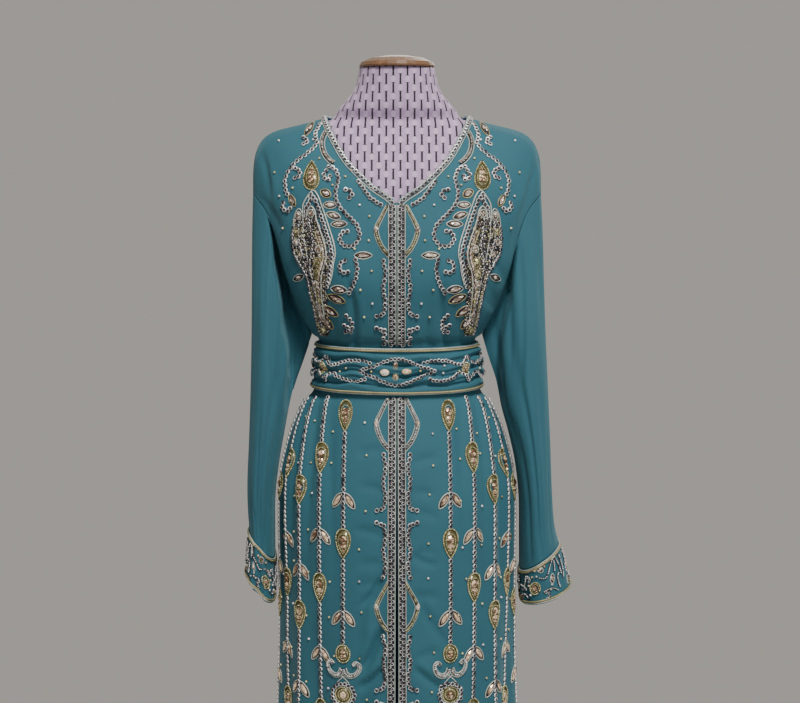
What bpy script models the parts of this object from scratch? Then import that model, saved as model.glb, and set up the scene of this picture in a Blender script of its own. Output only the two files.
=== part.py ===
"""Moroccan kaftan on a limbless dress form.

The kaftan is two fronts, a back, two sleeves, two cuffs, a pleated belt, gold cords and raised
beaded bands, all worn by a dress form on a pole and a round base.  Tables are in millimetres;
the solids are made in metres with +Z up.  The wearer faces -Y, and left and right are the wearer's.
"""
import math

import bpy
import numpy as np

for item in list(bpy.data.objects):
    bpy.data.objects.remove(item, do_unlink=True)

# ---------------------------------------------------------------- driving dimensions, mm
HEM_HEIGHT = 20.0
NECK_POINT_HEIGHT = 1434.0
CLOTH = 1.8             # wall of the worn cloth
CUFF_WALL = 2.4
BELT_WALL = 2.0
SEAM_GAP = 0.4          # between two pieces sewn edge to edge
LIFT = 0.55             # a laid piece above the cloth it is sewn to
CORD_RADIUS = 1.7
HALF_CLOTH = 253.5      # cloth from the centre line to the side seam, at the hip
CHAIN_PITCH = 39.0      # between two bead chains on the skirt, along the cloth
COLUMNS = 13            # cells from the centre line to the side seam
ARM_ROWS = 12           # cells from the shoulder seam to the underarm
BASE_RADIUS = 140.0
BASE_HEIGHT = 18.0
POLE_RADIUS = 14.0

# One row per level of the front.  "in" is the neck or centre front edge, "out" the armhole or side
# seam; n is the squareness of the curve between them and sag how far its middle drops.
FRONT_LEVELS = [
    # z_in,  x_in,  y_in,  z_out, x_out, y_out,  n,   sag
    (1434.0, 104.0, 4.0, 1326.0, 215.0, 2.0, 3.2, 11.0),      # shoulder seam
    (1424.0, 99.5, -24.0, 1316.0, 210.0, -17.0, 3.0, 9.0),    # front of the shoulder
    (1405.0, 90.0, -46.0, 1300.0, 196.0, -33.0, 2.8, 6.0),    # collar bone
    (1369.0, 68.0, -73.0, 1276.0, 184.0, -43.0, 2.6, 2.0),    # upper chest
    (1335.0, 33.0, -96.0, 1246.0, 175.0, -47.0, 2.5, 0.0),    # low on the neckline
    (1309.0, 0.2, -107.0, 1210.0, 166.0, -45.0, 2.4, 0.0),    # point of the neckline
    (1262.0, 0.2, -118.0, 1180.0, 157.0, -38.0, 2.3, 0.0),    # bust
    (1200.0, 0.2, -121.0, 1150.0, 147.0, -26.0, 2.3, 0.0),    # under the bust
    (1152.0, 0.2, -111.0, 1128.0, 137.0, -11.0, 2.2, 0.0),    # lower chest
    (1117.0, 0.2, -100.0, 1111.0, 128.0, 4.0, 2.1, 0.0),       # underarm
    (1101.0, 0.2, -89.1, 1101.0, 117.3, 4.0, 2.1, 0.0),       # top of the belt
    (1065.0, 0.2, -90.1, 1065.0, 119.9, 4.0, 2.1, 0.0),       # waist
    (1028.0, 0.3, -91.1, 1028.0, 122.9, 4.0, 2.1, 0.0),       # foot of the belt
    (1010.0, 0.4, -98.0, 1010.0, 137.0, 4.0, 2.1, 0.0),       # gathers
    (980.0, 0.5, -108.0, 980.0, 151.0, 4.0, 2.1, 0.0),        # gathers
    (948.0, 0.6, -117.0, 948.0, 162.0, 4.0, 2.1, 0.0),        # high hip
    (902.0, 0.8, -127.0, 902.0, 174.0, 4.0, 2.1, 0.0),        # hip
    (855.0, 1.0, -133.0, 855.0, 178.0, 4.0, 2.1, 0.0),        # seat
    (778.0, 1.3, -138.0, 778.0, 178.0, 4.0, 2.1, 0.0),        # thigh
    (700.0, 1.6, -142.0, 700.0, 178.0, 4.0, 2.1, 0.0),        # thigh
    (610.0, 1.7, -146.0, 610.0, 179.0, 4.0, 2.1, 0.0),        # knee
    (500.0, 1.7, -151.0, 500.0, 182.0, 4.0, 2.1, 0.0),        # calf
    (380.0, 1.7, -156.0, 380.0, 187.0, 4.0, 2.1, 0.0),        # calf
    (260.0, 1.7, -161.0, 260.0, 193.0, 4.0, 2.1, 0.0),        # shin
    (140.0, 1.7, -167.0, 140.0, 199.0, 4.0, 2.1, 0.0),        # shin
    (20.0, 1.7, -173.0, 20.0, 205.0, 4.0, 2.1, 0.0),          # hem
]

# The back has the same levels, from its neckline or centre line out to the same seams.
BACK_LEVELS = [
    # z_in,  x_in,  y_in,  z_out, x_out, y_out,  n,   sag
    (1434.0, 104.0, 4.0, 1326.0, 215.0, 2.0, 3.2, 11.0),      # shoulder seam
    (1433.5, 99.0, 25.0, 1316.0, 211.0, 20.0, 3.0, 10.0),     # back of the shoulder
    (1431.0, 88.0, 45.0, 1300.0, 202.0, 38.0, 2.8, 8.0),      # back neckline
    (1426.5, 68.0, 60.0, 1276.0, 193.0, 51.0, 2.6, 5.0),      # back neckline
    (1422.0, 38.0, 71.0, 1246.0, 184.0, 58.0, 2.5, 3.0),      # back neckline
    (1421.0, 0.0, 74.0, 1210.0, 174.0, 60.0, 2.4, 0.0),       # back neck
    (1370.0, 0.0, 93.0, 1180.0, 163.0, 54.0, 2.4, 0.0),       # shoulder blades
    (1290.0, 0.0, 101.0, 1150.0, 151.0, 42.0, 2.4, 0.0),      # shoulder blades
    (1195.0, 0.0, 95.0, 1128.0, 139.0, 23.0, 2.3, 0.0),       # small of the back
    (1120.0, 0.0, 88.0, 1111.0, 128.0, 4.0, 2.1, 0.0),        # underarm
    (1101.0, 0.0, 78.0, 1101.0, 117.3, 4.0, 2.1, 0.0),        # top of the belt
    (1065.0, 0.0, 80.8, 1065.0, 119.9, 4.0, 2.1, 0.0),        # waist
    (1028.0, 0.0, 83.7, 1028.0, 122.9, 4.0, 2.1, 0.0),        # foot of the belt
    (1010.0, 0.0, 97.0, 1010.0, 137.0, 4.0, 2.1, 0.0),        # gathers
    (980.0, 0.0, 110.0, 980.0, 151.0, 4.0, 2.1, 0.0),         # gathers
    (948.0, 0.0, 121.0, 948.0, 162.0, 4.0, 2.1, 0.0),         # high hip
    (902.0, 0.0, 133.0, 902.0, 174.0, 4.0, 2.1, 0.0),         # hip
    (855.0, 0.0, 140.0, 855.0, 178.0, 4.0, 2.1, 0.0),         # seat
    (778.0, 0.0, 144.0, 778.0, 178.0, 4.0, 2.1, 0.0),         # thigh
    (700.0, 0.0, 147.0, 700.0, 178.0, 4.0, 2.1, 0.0),         # thigh
    (610.0, 0.0, 150.0, 610.0, 179.0, 4.0, 2.1, 0.0),         # knee
    (500.0, 0.0, 155.0, 500.0, 182.0, 4.0, 2.1, 0.0),         # calf
    (380.0, 0.0, 160.0, 380.0, 187.0, 4.0, 2.1, 0.0),         # calf
    (260.0, 0.0, 165.0, 260.0, 193.0, 4.0, 2.1, 0.0),         # shin
    (140.0, 0.0, 171.0, 140.0, 199.0, 4.0, 2.1, 0.0),         # shin
    (20.0, 0.0, 177.0, 20.0, 205.0, 4.0, 2.1, 0.0),           # hem
]
NECK_LEVEL = 5          # the level of the neckline's point, and of the back neck
ARM_LEVEL = 9           # the level of the underarm

# Depth of the soft upright folds of the skirt.
FOLD_DEPTHS = [
    # z,     gathers, wide folds
    (1500.0, 0.0, 0.0),
    (1029.0, 0.0, 0.0),
    (1010.0, 1.8, 0.0),
    (980.0, 3.0, 0.0),
    (948.0, 3.0, 0.0),
    (902.0, 2.2, 0.0),
    (855.0, 1.3, 0.0),
    (778.0, 0.6, 0.6),
    (610.0, 0.0, 2.0),
    (380.0, 0.0, 5.0),
    (20.0, 0.0, 9.0),
]

# Sleeve rings: outer and inner end of each ring, its middle in y and its half depth.
SLEEVE_LEFT = [
    # x_out, z_out,  x_in,  z_in,   y_mid, half_y
    (215.0, 1326.0, 128.0, 1111.0, 5.0, 54.0),      # armhole
    (218.0, 1262.0, 138.5, 1075.0, 1.0, 59.0),
    (220.0, 1190.0, 150.0, 1040.0, -3.0, 62.0),
    (223.0, 1110.0, 158.0, 1000.0, -6.0, 63.0),
    (227.0, 1030.0, 169.0, 960.0, -8.0, 63.0),      # elbow
    (231.0, 950.0, 179.0, 915.0, -9.0, 62.0),
    (234.0, 880.0, 185.0, 862.0, -10.0, 60.0),
    (238.0, 827.0, 186.0, 802.0, -10.0, 57.0),
    (245.0, 796.5, 186.5, 755.0, -10.0, 55.0),      # wrist
]
SLEEVE_RIGHT = [
    # x_out, z_out,  x_in,  z_in,   y_mid, half_y
    (215.0, 1326.0, 128.0, 1111.0, 5.0, 54.0),      # armhole
    (216.5, 1262.0, 142.0, 1072.0, 1.0, 59.0),
    (217.0, 1190.0, 155.0, 1036.0, -3.0, 62.0),
    (218.0, 1110.0, 163.5, 1000.0, -6.0, 63.0),
    (220.0, 1030.0, 171.0, 960.0, -8.0, 63.0),      # elbow
    (223.0, 955.0, 179.0, 915.0, -9.0, 61.0),
    (226.0, 893.0, 185.0, 866.0, -10.0, 58.0),
    (226.0, 850.0, 186.0, 815.0, -10.0, 54.0),
    (224.0, 818.5, 186.0, 772.5, -10.0, 52.0),      # wrist
]
CUFF_LEFT = [
    # x_out, z_out,  x_in,  z_in,   y_mid, half_y
    (245.0, 796.0, 186.5, 754.5, -10.0, 55.0),
    (251.0, 775.0, 187.0, 738.0, -10.0, 57.0),
    (258.0, 752.0, 188.0, 721.0, -10.0, 59.0),
    (264.0, 729.0, 189.0, 703.0, -10.0, 62.0),
]
CUFF_RIGHT = [
    # x_out, z_out,  x_in,  z_in,   y_mid, half_y
    (224.0, 818.0, 186.0, 772.0, -10.0, 52.0),
    (226.0, 795.0, 186.5, 748.0, -11.0, 53.0),
    (228.0, 772.0, 187.0, 725.0, -12.0, 54.0),
    (229.5, 749.0, 187.5, 703.0, -12.0, 55.0),
]

# Long folds of the sleeves: angle round the sleeve (0 outer, 90 front, 180 towards the body),
# level where each is deepest, half width in degrees, half length in levels, depth.
SLEEVE_FOLDS_LEFT = [
    # angle, level, half_angle, half_length, depth
    (62.0, 4.6, 13.0, 1.7, 6.0),
    (112.0, 2.6, 14.0, 1.4, 5.0),
    (38.0, 1.9, 12.0, 1.1, 3.5),
    (250.0, 3.6, 15.0, 1.8, 5.0),
    (305.0, 5.2, 15.0, 1.6, 4.0),
]
SLEEVE_FOLDS_RIGHT = [
    # angle, level, half_angle, half_length, depth
    (95.0, 7.6, 18.0, 1.5, 6.0),
    (118.0, 3.0, 14.0, 1.6, 5.0),
    (48.0, 2.2, 12.0, 1.4, 3.5),
    (250.0, 3.4, 15.0, 1.8, 5.0),
    (300.0, 5.4, 15.0, 1.6, 4.0),
]
CUFF_FOLDS_LEFT = [(300.0, 2.0, 18.0, 2.0, 2.0)]
CUFF_FOLDS_RIGHT = [(93.0, 2.6, 18.0, 2.0, 9.0)]

# Belt: plain inside, five soft pleats outside.
BELT_LEVELS = [
    # z,      half_x, front, back, rise
    (1099.0, 121.2, 92.6, 82.0, 0.0),
    (1090.0, 122.0, 92.9, 82.8, 1.8),
    (1080.0, 122.8, 93.1, 83.6, 0.3),
    (1070.0, 123.6, 93.4, 84.4, 2.0),
    (1059.0, 124.6, 93.7, 85.4, 0.3),
    (1049.0, 125.4, 94.0, 86.3, 1.9),
    (1039.0, 126.2, 94.3, 87.2, 0.4),
    (1030.0, 127.0, 94.6, 88.0, 0.8),
]
BELT_AROUND = 48

# Dress form: half width, depth in front, depth behind and squareness at each height.
FORM_LEVELS = [
    # z,     half_x, front, back, n
    (740.0, 146.0, 90.0, 102.0, 2.1),
    (775.0, 157.0, 98.0, 112.0, 2.1),
    (860.0, 163.0, 104.0, 119.0, 2.1),
    (940.0, 147.0, 97.0, 105.0, 2.1),
    (1000.0, 124.0, 86.0, 86.0, 2.1),
    (1060.0, 109.0, 79.0, 71.0, 2.1),
    (1110.0, 113.0, 85.0, 75.0, 2.1),
    (1160.0, 124.0, 97.0, 82.0, 2.2),
    (1207.0, 133.0, 108.0, 87.0, 2.3),
    (1255.0, 140.0, 105.0, 91.0, 2.3),
    (1300.0, 150.0, 95.0, 93.0, 2.3),
    (1345.0, 167.0, 78.0, 88.0, 2.4),
    (1375.0, 180.0, 63.0, 81.0, 2.3),
    (1392.0, 181.0, 54.0, 74.0, 2.1),
    (1405.0, 167.0, 46.0, 68.0, 1.8),
    (1419.6, 143.0, 41.0, 63.0, 1.6),
    (1430.0, 99.0, 39.0, 59.0, 1.6),
    (1445.0, 87.0, 46.0, 59.0, 1.9),
    (1460.0, 74.0, 48.0, 57.0, 2.0),
    (1478.0, 62.0, 49.0, 54.0, 2.0),
    (1506.0, 56.0, 50.0, 50.0, 2.0),
]
FORM_AROUND = 28
BUST = {"x": 78.0, "z": 1212.0, "half_x": 42.0, "half_z": 46.0, "rise": 9.0}

# Raised beadwork on each side of the chest.
CHEST_WORK = [
    # x,     z,      half_width
    (124.0, 1338.0, 4.0),
    (124.0, 1312.0, 13.0),
    (121.0, 1280.0, 19.0),
    (120.0, 1240.0, 23.0),
    (117.0, 1200.0, 24.0),
    (112.0, 1160.0, 19.0),
    (106.0, 1120.0, 6.0),
]
WORK_RISE = 2.0

# Bead chains down the skirt: cloth column, top, and the first of the jewels set in it.
CHAINS = [
    # column, top,   jewel
    (4, 1020.0, 984.0),
    (6, 1018.0, 925.0),
    (8, 1004.0, 877.0),
]
CHAIN_FOOT = 60.0
CHAIN_HALF = 3.0
CHAIN_RISE = 1.8
JEWEL_PITCH = 187.0
JEWEL_HALF = 10.0
JEWEL_LENGTH = 42.0
JEWEL_RISE = 3.0

# ---------------------------------------------------------------- materials
COLOURS = [
    # name, colour, roughness, metallic
    ("teal_georgette", (0.045, 0.19, 0.215, 1.0), 0.75, 0.0),
    ("gold_cord", (0.62, 0.46, 0.17, 1.0), 0.4, 0.8),
    ("silver_beadwork", (0.36, 0.36, 0.40, 1.0), 0.35, 0.7),
    ("form_cover", (0.42, 0.33, 0.50, 1.0), 0.85, 0.0),
    ("cap_wood", (0.20, 0.11, 0.06, 1.0), 0.5, 0.0),
    ("stand_steel", (0.05, 0.05, 0.055, 1.0), 0.35, 0.9),
]


def make_materials():
    """One plain material per row of COLOURS, by name."""
    made = {}
    for name, colour, roughness, metallic in COLOURS:
        material = bpy.data.materials.new(name)
        material.use_nodes = True
        surface = material.node_tree.nodes["Principled BSDF"]
        surface.inputs["Base Color"].default_value = colour
        surface.inputs["Roughness"].default_value = roughness
        surface.inputs["Metallic"].default_value = metallic
        material.diffuse_color = colour
        made[name] = material
    return made


MATERIALS = make_materials()


# ---------------------------------------------------------------- curves and grids
def between(table, positions):
    """Smooth values of a table's columns at fractional row numbers."""
    rows = np.array(table, dtype=float)
    positions = np.clip(np.asarray(positions, dtype=float), 0.0, len(rows) - 1.0)
    low = np.minimum(positions.astype(int), len(rows) - 2)
    part = (positions - low)[:, None]
    before = rows[np.maximum(low - 1, 0)]
    here = rows[low]
    after = rows[low + 1]
    beyond = rows[np.minimum(low + 2, len(rows) - 1)]
    leave = (after - before) / 2
    arrive = (beyond - here) / 2
    return ((2 * part**3 - 3 * part**2 + 1) * here + (part**3 - 2 * part**2 + part) * leave
            + (3 * part**2 - 2 * part**3) * after + (part**3 - part**2) * arrive)


def spaced(path, distances):
    """Points of a path at the given distances along it."""
    steps = np.linalg.norm(np.diff(path, axis=0), axis=1)
    run = np.concatenate([[0.0], np.cumsum(steps)])
    return np.stack([np.interp(distances, run, path[:, axis]) for axis in range(3)], axis=1)


def level_curve(level):
    """The curve of one level, from its inner to its outer end."""
    z_in, x_in, y_in, z_out, x_out, y_out, n, sag = level
    turn = np.linspace(0, math.pi / 2, 160)
    across = np.sin(turn) ** (2 / n)
    along = np.clip(np.cos(turn), 0, 1) ** (2 / n)
    return np.stack([
        x_in + (x_out - x_in) * across,
        y_out + (y_in - y_out) * along,
        z_out + (z_in - z_out) * along - sag * np.sin(math.pi * across),
    ], axis=1)


def cloth_distances(length, cloth, gathered):
    """Where points of the cloth lie along a level of this length.

    Spread evenly on the bodice; on the skirt each keeps its own distance from the centre and the
    cloth is drawn together towards the side seam.
    """
    even = length * cloth / HALF_CLOTH
    drawn = cloth + (length - HALF_CLOTH) * (cloth / HALF_CLOTH) ** 3
    return even + (drawn - even) * gathered


def normals(grid, wrap=False):
    """Unit normals of a grid, by the run of its rows and columns."""
    if wrap:
        across = np.roll(grid, -1, axis=1) - np.roll(grid, 1, axis=1)
    else:
        across = np.gradient(grid, axis=1)
    down = np.gradient(grid, axis=0)
    found = np.cross(down, across)
    return found / np.linalg.norm(found, axis=2, keepdims=True)


def squared_up(found, seam_rows):
    """Normals made the same for both pieces of each seam."""
    found = found.copy()
    found[seam_rows:, -1, 1] = 0.0
    found[NECK_ROW:, 0, 0] = 0.0
    found[0, :, 1] = 0.0
    return found / np.linalg.norm(found, axis=2, keepdims=True)


def fold_rise(z, cloth, behind):
    """How far the skirt's folds stand out."""
    table = np.array(FOLD_DEPTHS)[::-1]
    gathers = np.interp(z, table[:, 0], table[:, 1])
    wide = np.interp(z, table[:, 0], table[:, 2])
    if behind:
        towards_side = 0.8
    else:
        towards_side = np.clip((cloth - 78.0) / 60.0, 0.0, 1.0)
    ripple = gathers * towards_side * np.cos(2 * math.pi * cloth / CHAIN_PITCH)
    return ripple + wide * (0.35 + 0.65 * towards_side) * np.cos(math.pi * cloth / CHAIN_PITCH)


def half_panel(levels, level_numbers, behind):
    """Outer points and normals of the left half of the front or of the back."""
    cloth = np.linspace(0, HALF_CLOTH, COLUMNS + 1)
    rows = []
    for number, level in zip(level_numbers, between(levels, level_numbers)):
        path = level_curve(level)
        length = np.linalg.norm(np.diff(path, axis=0), axis=1).sum()
        gathered = np.clip((number - ARM_LEVEL) / 3, 0, 1)
        rows.append(spaced(path, cloth_distances(length, cloth, gathered)))
    grid = np.array(rows)
    if not behind:
        swell = np.exp(-((grid[:, :, 0] - BUST["x"]) / BUST["half_x"]) ** 2
                       - ((grid[:, :, 2] - BUST["z"]) / BUST["half_z"]) ** 2)
        grid[:, :, 1] -= BUST["rise"] * swell
    facing = -1.0 if behind else 1.0
    out = squared_up(normals(grid) * facing, ARM_ROWS)
    grid = grid + out * fold_rise(grid[:, :, 2], cloth[None, :], behind)[:, :, None]
    if behind:
        grid[:, -1, 1] += SEAM_GAP
        grid[0, :, 1] += SEAM_GAP
    out = squared_up(normals(grid) * facing, ARM_ROWS)
    return grid, out


# ---------------------------------------------------------------- solids
def mirrored(points):
    """The same points on the wearer's right."""
    return np.asarray(points) * (-1.0, 1.0, 1.0)


def make_object(name, points, faces, material, smooth=True):
    """A closed solid with its faces turned outwards."""
    mesh = bpy.data.meshes.new(name)
    mesh.from_pydata([tuple(0.001 * value for value in point) for point in points], [], faces)
    mesh.validate()
    if smooth:
        mesh.shade_smooth()
    mesh.materials.append(MATERIALS[material])
    made = bpy.data.objects.new(name, mesh)
    bpy.context.scene.collection.objects.link(made)
    bpy.context.view_layer.objects.active = made
    made.select_set(True)
    bpy.ops.object.mode_set(mode="EDIT")
    bpy.ops.mesh.select_all(action="SELECT")
    bpy.ops.mesh.normals_make_consistent(inside=False)
    bpy.ops.object.mode_set(mode="OBJECT")
    made.select_set(False)
    return made


def shell(name, sheets, material):
    """A cloth wall: outer and inner grids joined round their free edges."""
    points = []
    numbers = {}
    inner_of = {}

    def number(point):
        key = tuple(np.round(point, 4))
        if key not in numbers:
            numbers[key] = len(points)
            points.append(tuple(point))
        return numbers[key]

    faces = []
    edges = {}
    for outer, inner, flip in sheets:
        height, width = outer.shape[:2]
        outside = [[number(outer[row, col]) for col in range(width)] for row in range(height)]
        inside = [[number(inner[row, col]) for col in range(width)] for row in range(height)]
        for row in range(height):
            for col in range(width):
                inner_of[outside[row][col]] = inside[row][col]
        for row in range(height - 1):
            for col in range(width - 1):
                face = [outside[row][col], outside[row + 1][col],
                        outside[row + 1][col + 1], outside[row][col + 1]]
                for half in (face[:3], [face[0]] + face[2:]):
                    if flip:
                        half.reverse()
                    faces.append(half)
                    faces.append([inner_of[corner] for corner in reversed(half)])
                    for start, end in zip(half, half[1:] + half[:1]):
                        edges[(start, end)] = True
    for start, end in edges:
        if (end, start) not in edges:
            faces.append([end, start, inner_of[start], inner_of[end]])
    return make_object(name, points, faces, material)


def closed_round(grid):
    """A ring grid with its first column repeated at the end."""
    return np.concatenate([grid, grid[:, :1]], axis=1)


def stack(name, rings, material, smooth=True):
    """A solid from rings laid one above another, closed at both ends."""
    points = [point for ring in rings for point in ring]
    around = len(rings[0])
    faces = [list(range(around)), list(range(len(points) - around, len(points)))]
    for level in range(len(rings) - 1):
        for step in range(around):
            low = level * around + step
            side = level * around + (step + 1) % around
            faces.append([low, side, side + around, low + around])
    return make_object(name, points, faces, material, smooth)


def cord(name, path, out, down, radius):
    """A closed cord along a path, lying on the outer side of the path."""
    rings = []
    for spoke in range(4):
        angle = math.pi / 4 + spoke * math.pi / 2
        reach = radius * (0.71 + math.cos(angle))
        rings.append(path + out * reach + down * radius * math.sin(angle))
    count = len(path)
    points = [point for ring in rings for point in ring]
    faces = []
    for spoke in range(4):
        for step in range(count):
            here = spoke * count + step
            ahead = spoke * count + (step + 1) % count
            there = ((spoke + 1) % 4) * count
            faces.append([here, ahead, there + (step + 1) % count, there + step])
    return make_object(name, points, faces, "gold_cord")


def on_panel(panel, row, column):
    """A point of the panel's facets and its normal, at a fractional row and column."""
    grid, out = panel
    low_row = min(int(row), grid.shape[0] - 2)
    low_col = min(int(column), grid.shape[1] - 2)
    down = row - low_row
    across = column - low_col
    found = []
    for field in (grid, out):
        start = field[low_row, low_col]
        end = field[low_row + 1, low_col + 1]
        if down > across:
            corner = field[low_row + 1, low_col]
            found.append(start + (corner - start) * down + (end - corner) * across)
        else:
            corner = field[low_row, low_col + 1]
            found.append(start + (corner - start) * across + (end - corner) * down)
    return found[0], found[1] / np.linalg.norm(found[1])


def column_at(panel, row, distance):
    """The fractional column this far from the inner edge along a row."""
    line = np.array([on_panel(panel, row, column)[0] for column in range(COLUMNS + 1)])
    run = np.concatenate([[0.0], np.cumsum(np.linalg.norm(np.diff(line, axis=0), axis=1))])
    return np.interp(distance, run, range(COLUMNS + 1))


def row_of_height(panel, column, z):
    """The fractional row where a column passes this height."""
    heights = panel[0][:, column, 2]
    return np.interp(-z, -heights, range(len(heights)))


def place_of(panel, x, z):
    """The fractional row and column nearest to a point seen from the front."""
    best = (1e9, 0.0, 0.0)
    for row in np.arange(0, ARM_ROWS + 1.01, 0.1):
        for column in np.arange(0, COLUMNS + 0.01, 0.1):
            point = on_panel(panel, row, column)[0]
            miss = (point[0] - x) ** 2 + (point[2] - z) ** 2
            if miss < best[0]:
                best = (miss, row, column)
    return best[1], best[2]


def strip(name, stations, material, left_side):
    """A raised trim: each station lists its points across, a normal, and the rise of its middle."""
    points = []
    for across, out, rise, edge_rise in stations:
        count = len(across)
        for place in across:
            points.append(place + out * LIFT)
        for number, place in enumerate(across):
            inside = 0 < number < count - 1 or count == 2
            points.append(place + out * (LIFT + (rise if inside else edge_rise)))
    width = len(stations[0][0])
    ring = list(range(width)) + list(range(2 * width - 1, width - 1, -1))
    size = 2 * width
    faces = [ring, [corner + size * (len(stations) - 1) for corner in ring]]
    for number in range(len(stations) - 1):
        base = number * size
        for here, ahead in zip(ring, ring[1:] + ring[:1]):
            faces.append([base + here, base + ahead, base + size + ahead, base + size + here])
    placed = points if left_side else mirrored(points)
    return make_object(name, placed, faces, material)


# ---------------------------------------------------------------- fronts and back
ARM_LEVELS = list(np.linspace(0, ARM_LEVEL, ARM_ROWS + 1))
SKIRT_LEVELS = list(range(ARM_LEVEL + 1, len(FRONT_LEVELS)))
LEVEL_NUMBERS = ARM_LEVELS + SKIRT_LEVELS
NECK_ROW = 7
LEVEL_NUMBERS[NECK_ROW] = float(NECK_LEVEL)
LEVEL_NUMBERS[NECK_ROW - 1] = NECK_LEVEL - 0.7

front = half_panel(FRONT_LEVELS, LEVEL_NUMBERS, behind=False)
back = half_panel(BACK_LEVELS, LEVEL_NUMBERS, behind=True)


def inside_of(panel, wall):
    """The inner points of a panel."""
    return panel[0] - panel[1] * wall


shell("front_left", [(front[0], inside_of(front, CLOTH), False)], "teal_georgette")
shell("front_right", [(mirrored(front[0]), mirrored(inside_of(front, CLOTH)), True)], "teal_georgette")
shell("back", [(back[0], inside_of(back, CLOTH), True),
               (mirrored(back[0]), mirrored(inside_of(back, CLOTH)), False)], "teal_georgette")


# ---------------------------------------------------------------- sleeves and cuffs
def armhole():
    """The seam line of the armhole, round from the shoulder by the front, and its normals."""
    lines = []
    for field in (0, 1):
        fore = front[field][:ARM_ROWS + 1, -1]
        rear = back[field][:ARM_ROWS + 1, -1]
        top = (fore[:1] + rear[:1]) / 2
        foot = (fore[-1:] + rear[-1:]) / 2
        lines.append(np.concatenate([top, fore[1:-1], foot, rear[-2:0:-1]]))
    return lines


SEAM_LINE, SEAM_OUT = armhole()


def seam_angles():
    """The angle round the sleeve of each point of its seam, from how high the point lies."""
    heights = SEAM_LINE[:, 2]
    turn = np.arccos(2 * (heights - heights.min()) / np.ptp(heights) - 1)
    turn[ARM_ROWS + 1:] = 2 * math.pi - turn[ARM_ROWS + 1:]
    return turn


ANGLES = seam_angles()


def sleeve_rings(table, positions, folds):
    """Rings of a sleeve or cuff; folds are troughs along it."""
    rings = []
    for position, row in zip(positions, between(table, positions)):
        x_out, z_out, x_in, z_in, y_mid, half_y = row
        swing = np.cos(ANGLES)
        round_front = np.sign(np.sin(ANGLES)) * np.abs(np.sin(ANGLES)) ** 0.85
        trough = np.zeros_like(ANGLES)
        for angle, level, half_angle, half_length, depth in folds:
            apart = (np.degrees(ANGLES) - angle + 180) % 360 - 180
            trough += depth * np.exp(-(apart / half_angle) ** 2 - ((position - level) / half_length) ** 2)
        shrink_x = 1 - trough * np.abs(swing) / 40
        shrink_y = 1 - trough * np.abs(round_front) / half_y
        rings.append(np.stack([
            (x_out + x_in) / 2 + (x_out - x_in) / 2 * swing * shrink_x,
            y_mid - half_y * round_front * shrink_y,
            (z_out + z_in) / 2 + (z_out - z_in) / 2 * swing,
        ], axis=1))
    return np.array(rings)


SLEEVE_POSITIONS = [0.0, 0.35, 0.8, 1.4, 2.0, 2.7, 3.4, 4.1, 4.8, 5.5, 6.2, 7.0, 8.0]


def build_sleeve(name, table, cuff_table, folds, cuff_folds, left_side):
    """A sleeve with its cuff and the cuff's two cords."""
    rings = sleeve_rings(table, SLEEVE_POSITIONS, folds)
    miss = SEAM_LINE - rings[0]
    for number, position in enumerate(SLEEVE_POSITIONS):
        rings[number] += miss * max(0.0, 1 - position / 2.4) ** 2
    along = np.roll(SEAM_LINE, -1, axis=0) - np.roll(SEAM_LINE, 1, axis=0)
    along /= np.linalg.norm(along, axis=1, keepdims=True)
    away = rings[1] - rings[0]
    away -= along * np.sum(away * along, axis=1, keepdims=True)
    away /= np.linalg.norm(away, axis=1, keepdims=True)
    rings[0] = SEAM_LINE + away * SEAM_GAP + SEAM_OUT * 0.3
    turn = np.asarray if left_side else mirrored
    cuff = sleeve_rings(cuff_table, [0.0, 1.0, 2.0, 3.0], cuff_folds)
    cuff[0] = rings[-1]
    whole = np.concatenate([rings, cuff[1:]])
    out = -normals(whole, wrap=True)
    drop = cuff[1] - cuff[0]
    cuff[0] += 2 * SEAM_GAP * drop / np.linalg.norm(drop, axis=1, keepdims=True)
    last = len(rings) - 1
    for part, grid, facing, wall in (("sleeve", rings, out[:last + 1], CLOTH),
                                     ("cuff", cuff, out[last:], CUFF_WALL)):
        shell(f"{part}_{name}",
              [(turn(closed_round(grid)), turn(closed_round(grid - facing * wall)), left_side)],
              "teal_georgette")
    grid = cuff
    out = out[last:]
    down = grid[1] - grid[0]
    down /= np.linalg.norm(down, axis=1, keepdims=True)
    lengths = {"top": (grid[0] + down * 2.5, out[0]), "foot": (grid[-1] - down * 2.5, out[-1])}
    for end, (path, facing) in lengths.items():
        cord(f"cuff_cord_{end}_{name}", turn(path + facing * LIFT), turn(facing), turn(down), CORD_RADIUS)


build_sleeve("left", SLEEVE_LEFT, CUFF_LEFT, SLEEVE_FOLDS_LEFT, CUFF_FOLDS_LEFT, True)
build_sleeve("right", SLEEVE_RIGHT, CUFF_RIGHT, SLEEVE_FOLDS_RIGHT, CUFF_FOLDS_RIGHT, False)


# ---------------------------------------------------------------- belt
def waist_ring(z, half_x, fore, rear, n, count, side_y=4.0):
    """A level ring round the body, evenly spaced from the front."""
    front_half = level_curve((z, 0.0, -fore, z, half_x, side_y, n, 0.0))
    back_half = level_curve((z, 0.0, rear, z, half_x, side_y, n, 0.0))
    half = np.concatenate([front_half, back_half[-2::-1]])
    whole = np.concatenate([half, mirrored(half[-2::-1])])
    length = np.linalg.norm(np.diff(whole, axis=0), axis=1).sum()
    return spaced(whole, np.arange(count) * length / count)


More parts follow.
